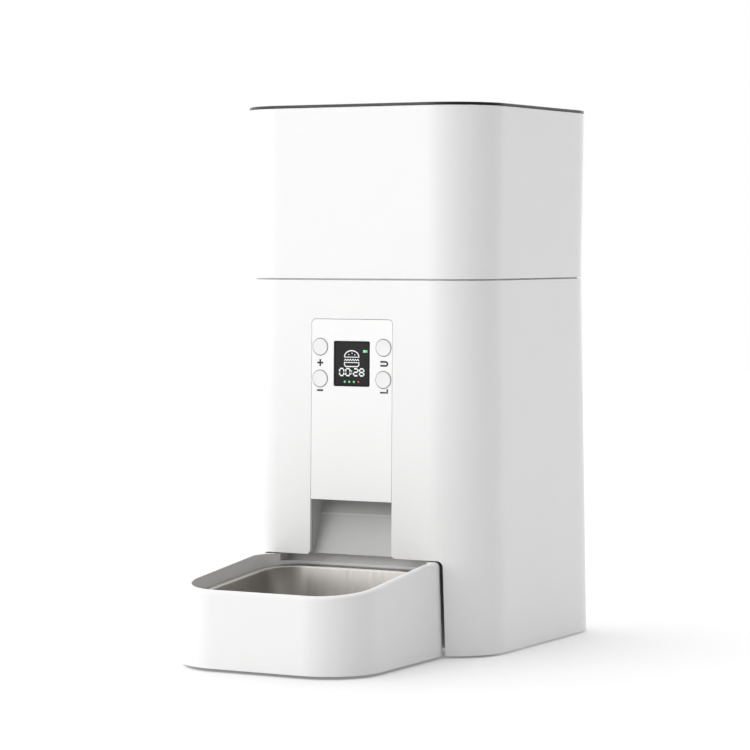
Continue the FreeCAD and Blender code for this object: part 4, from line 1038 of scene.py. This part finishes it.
class FEEDER_OT_buttons(bpy.types.Operator):
    """Turn the four round button caps, each with a shallow finger dish"""
    bl_idname = "feeder.buttons"
    bl_label = "Buttons"

    def execute(self, context):
        radius = strip().button_radius
        # Dark rings just behind the panel's face, in the gaps round the caps: painted shadow of
        # the gaps.
        line = radius + 0.2 * MM
        rings = [(True, arc(place, line, line, 0, 354, 59)) for place in button_places()]
        gap_shadows = stroked("button_gap_shadows", rings, 0.36 * MM, -0.35 * MM)
        fit(gap_shadows, "base", "button_gap_shadow", slot="panel_white")
        for name in ("button_plus", "button_minus", "button_back", "button_enter"):
            low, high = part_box(name)
            centre = ((low.x + high.x) / 2, low.y, (low.z + high.z) / 2)
            deep = high.y - low.y
            profile = (
                (0.3 * MM, 0.22 * MM), (2.0 * MM, 0.2 * MM), (3.6 * MM, 0.12 * MM),
                (radius - 0.7 * MM, 0.02 * MM), (radius - 0.35 * MM, 0.05 * MM),
                (radius - 0.1 * MM, 0.2 * MM), (radius, 0.45 * MM), (radius, 3.5 * MM),
                (6.6 * MM, 3.5 * MM), (6.6 * MM, 4.4 * MM), (2.0 * MM, 4.4 * MM),
                (2.0 * MM, deep),
            )
            cap = smooth(turned(name + "_cap", profile, centre, steps=64))
            fit(cap, name, "button_white", name)
        return {"FINISHED"}


class FEEDER_OT_tray(bpy.types.Operator):
    """Mould the food tray, with its sloping top, the landing and the bowl's opening"""
    bl_idname = "feeder.tray"
    bl_label = "Food tray"

    def execute(self, context):
        sizes = tray_sizes()
        body = tray_form("food_tray_shell", 0.0)
        carve(body, above_top("over", 0.0))
        soften(body, sizes.rounding, 6, math.radians(60))
        far, deep = 0.3, -0.05
        carve(body, block("under", (-far, -far, deep), (far, far, TRAY_LOW.z)))
        room = tray_form("tray_room", sizes.wall)
        grow = sizes.bowl_rim + 3 * MM
        well = stacked("bowl_well", [bowl_loop(grow, lambda y: ledge(y) - sizes.wall),
                                     bowl_loop(grow, OVER_TRAY)])
        carve(room, above_top("over_room", sizes.wall), well, landing_backing())
        opening = stacked("bowl_opening", [bowl_loop(0.6 * MM, height)
                                           for height in (10 * MM, OVER_TRAY)])
        grow = sizes.bowl_rim + 0.4 * MM
        rebate = stacked("bowl_rebate", [bowl_loop(grow, ledge), bowl_loop(grow, OVER_TRAY)])
        carve(body, room, opening, rebate, landing_cutter())
        soften(body, 0.5 * MM, 3, math.radians(24))
        smooth(body)
        fit(body, "tray", "tray_white", "food_tray")
        return {"FINISHED"}


def tray_form(name, inset):
    """The tray's leaning sides, carried on past its top and foot."""
    sizes = tray_sizes()
    loops = []
    drawn_height = 62 * MM
    for height in (-6 * MM, 70 * MM):
        lean = inset + sizes.draft * (height - TRAY_LOW.z) / drawn_height
        loops.append(rounded_loop(sizes.width - 2 * lean, sizes.depth - 2 * lean,
                                  sizes.corner - lean, tray_middle(), height, 20))
    return stacked(name, loops)


def above_top(name, drop):
    front, back, sky = -0.3, 0.2, 0.12
    outline = [(front, tray_top(front) - drop), (slope_start(), tray_top(0) - drop),
               (back, tray_top(0) - drop), (back, sky), (front, sky)]
    return prism(name, outline, -0.12, 0.12, "x")


def bowl_loop(grow, height, steps=20):
    sizes = tray_sizes()
    return rounded_loop(sizes.bowl_width + 2 * grow, sizes.bowl_depth + 2 * grow,
                        sizes.bowl_corner + grow, (0.0, bowl_middle()), height, steps)


def landing_cutter():
    """The landing behind the bowl: a narrow lip, then a slope up to the tray's back."""
    near, low, high = front_face(FLOOR_LEVEL) + 0.6 * MM, 56.2 * MM, OVER_TRAY
    lip, back, half = near + 13 * MM, near + 16.8 * MM, 54 * MM
    outline = [(near, low), (lip, low), (back, tray_sizes().crest + 0.5 * MM), (back, high),
               (near, high)]
    return prism("landing", outline, -half, half, "x")


def landing_backing():
    """The thick part of the shell under the landing's slope."""
    near, half = front_face(FLOOR_LEVEL) + 5.6 * MM, 60 * MM
    return block("landing_backing", (-half, near, 50 * MM), (half, near + 14.8 * MM, OVER_TRAY))


class FEEDER_OT_bowl(bpy.types.Operator):
    """Press the steel bowl: a flat rim, a drawn wall and a rounded foot"""
    bl_idname = "feeder.bowl"
    bl_label = "Bowl"

    def execute(self, context):
        sizes = tray_sizes()
        draft, fillet = 5 * MM, 7 * MM
        depth = sizes.bowl_drop
        profile = [(-6.0, -0.75), (-5.9, -0.25), (-5.5, 0.0), (-2.0, 0.0), (-1.1, -0.15),
                   (-0.4, -0.6), (-0.1, -1.2), (0.0, -2.0)]
        profile = [(a * MM, b * MM) for a, b in profile]
        for part in (0.2, 0.4, 0.6, 0.78):
            profile.append((draft * part, -depth * part))
        foot_start = math.atan(draft / depth)
        for step in range(1, 9):
            angle = mixed(foot_start, math.pi / 2, step / 8)
            across = draft * 0.8 + fillet * (math.cos(foot_start) - math.cos(angle))
            profile.append((across, -depth + fillet * (1 - math.sin(angle))))
        profile.append((20 * MM, -depth + 0.1 * MM))
        profile.append((25 * MM, -depth + 0.35 * MM))
        loops = []
        for inset, drop in profile:
            corner = max(1 * MM, sizes.bowl_corner - inset)
            loops.append(rounded_loop(sizes.bowl_width - 2 * inset, sizes.bowl_depth - 2 * inset,
                                      corner, (0.0, 0.0), drop, 20))
        dish = stacked("steel_bowl", loops, capped=False)
        close_floor(dish, len(loops[-1]))
        sheet = dish.modifiers.new("sheet", "SOLIDIFY")
        sheet.thickness = sizes.bowl_sheet
        sheet.offset = -1.0
        sheet.use_even_offset = True
        settle(dish)
        tilt = Matrix.Rotation(math.atan(sizes.bowl_slope), 4, "X")
        place = Matrix.Translation((0.0, bowl_middle(), sizes.ledge + 0.85 * MM))
        dish.data.transform(place @ tilt)
        smooth(dish)
        fit(dish, "bowl", "bowl_steel", "bowl")
        return {"FINISHED"}


def close_floor(dish, count):
    form = bmesh.new()
    form.from_mesh(dish.data)
    form.verts.ensure_lookup_table()
    lowest = [edge for edge in form.edges if edge.is_boundary
              and all(vert.index >= len(form.verts) - count for vert in edge.verts)]
    bmesh.ops.holes_fill(form, edges=lowest, sides=0)
    bmesh.ops.recalc_face_normals(form, faces=form.faces)
    upward = sum(face.normal.z for face in form.faces if len(face.verts) > 8)
    if upward < 0:
        bmesh.ops.reverse_faces(form, faces=form.faces)
    form.to_mesh(dish.data)
    form.free()


class FEEDER_OT_inside(bpy.types.Operator):
    """Give every part that keeps its moulded shape its own finish"""
    bl_idname = "feeder.inside"
    bl_label = "Inside parts"

    def execute(self, context):
        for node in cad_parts.values():
            for holder in node.material_slots:
                slot_name = holder.material.name.split(".")[0] if holder.material else ""
                if slot_name in FINISHES:
                    holder.material = finish(slot_name)
                else:
                    raise RuntimeError(f"{node.name} has no finish called {slot_name}")
        return {"FINISHED"}


STEPS = (
    FEEDER_OT_stage, FEEDER_OT_inside, FEEDER_OT_base, FEEDER_OT_hopper, FEEDER_OT_lid,
    FEEDER_OT_strip, FEEDER_OT_window, FEEDER_OT_symbols, FEEDER_OT_reading, FEEDER_OT_buttons,
    FEEDER_OT_tray, FEEDER_OT_bowl,
)


class FEEDER_PT_pieces(bpy.types.Panel):
    """Lists the feeder's pieces in the order in which they are made"""
    bl_label = "Pet Feeder"
    bl_space_type = "VIEW_3D"
    bl_region_type = "UI"
    bl_category = "Feeder"

    def draw(self, context):
        column = self.layout.column()
        for step in STEPS:
            column.operator(step.bl_idname)


def register():
    for kind in (*GROUPS.values(), *STEPS, FEEDER_PT_pieces):
        bpy.utils.register_class(kind)
    for name, group in GROUPS.items():
        setattr(bpy.types.Scene, name, PointerProperty(type=group))


def unregister():
    for name in GROUPS:
        delattr(bpy.types.Scene, name)
    for kind in reversed((*GROUPS.values(), *STEPS, FEEDER_PT_pieces)):
        bpy.utils.unregister_class(kind)


def main():
    register()
    for step in STEPS:
        family, name = step.bl_idname.split(".")
        if getattr(getattr(bpy.ops, family), name)() != {"FINISHED"}:
            raise RuntimeError(f"{step.bl_label} was not finished")


if __name__ == "__main__":
    main()
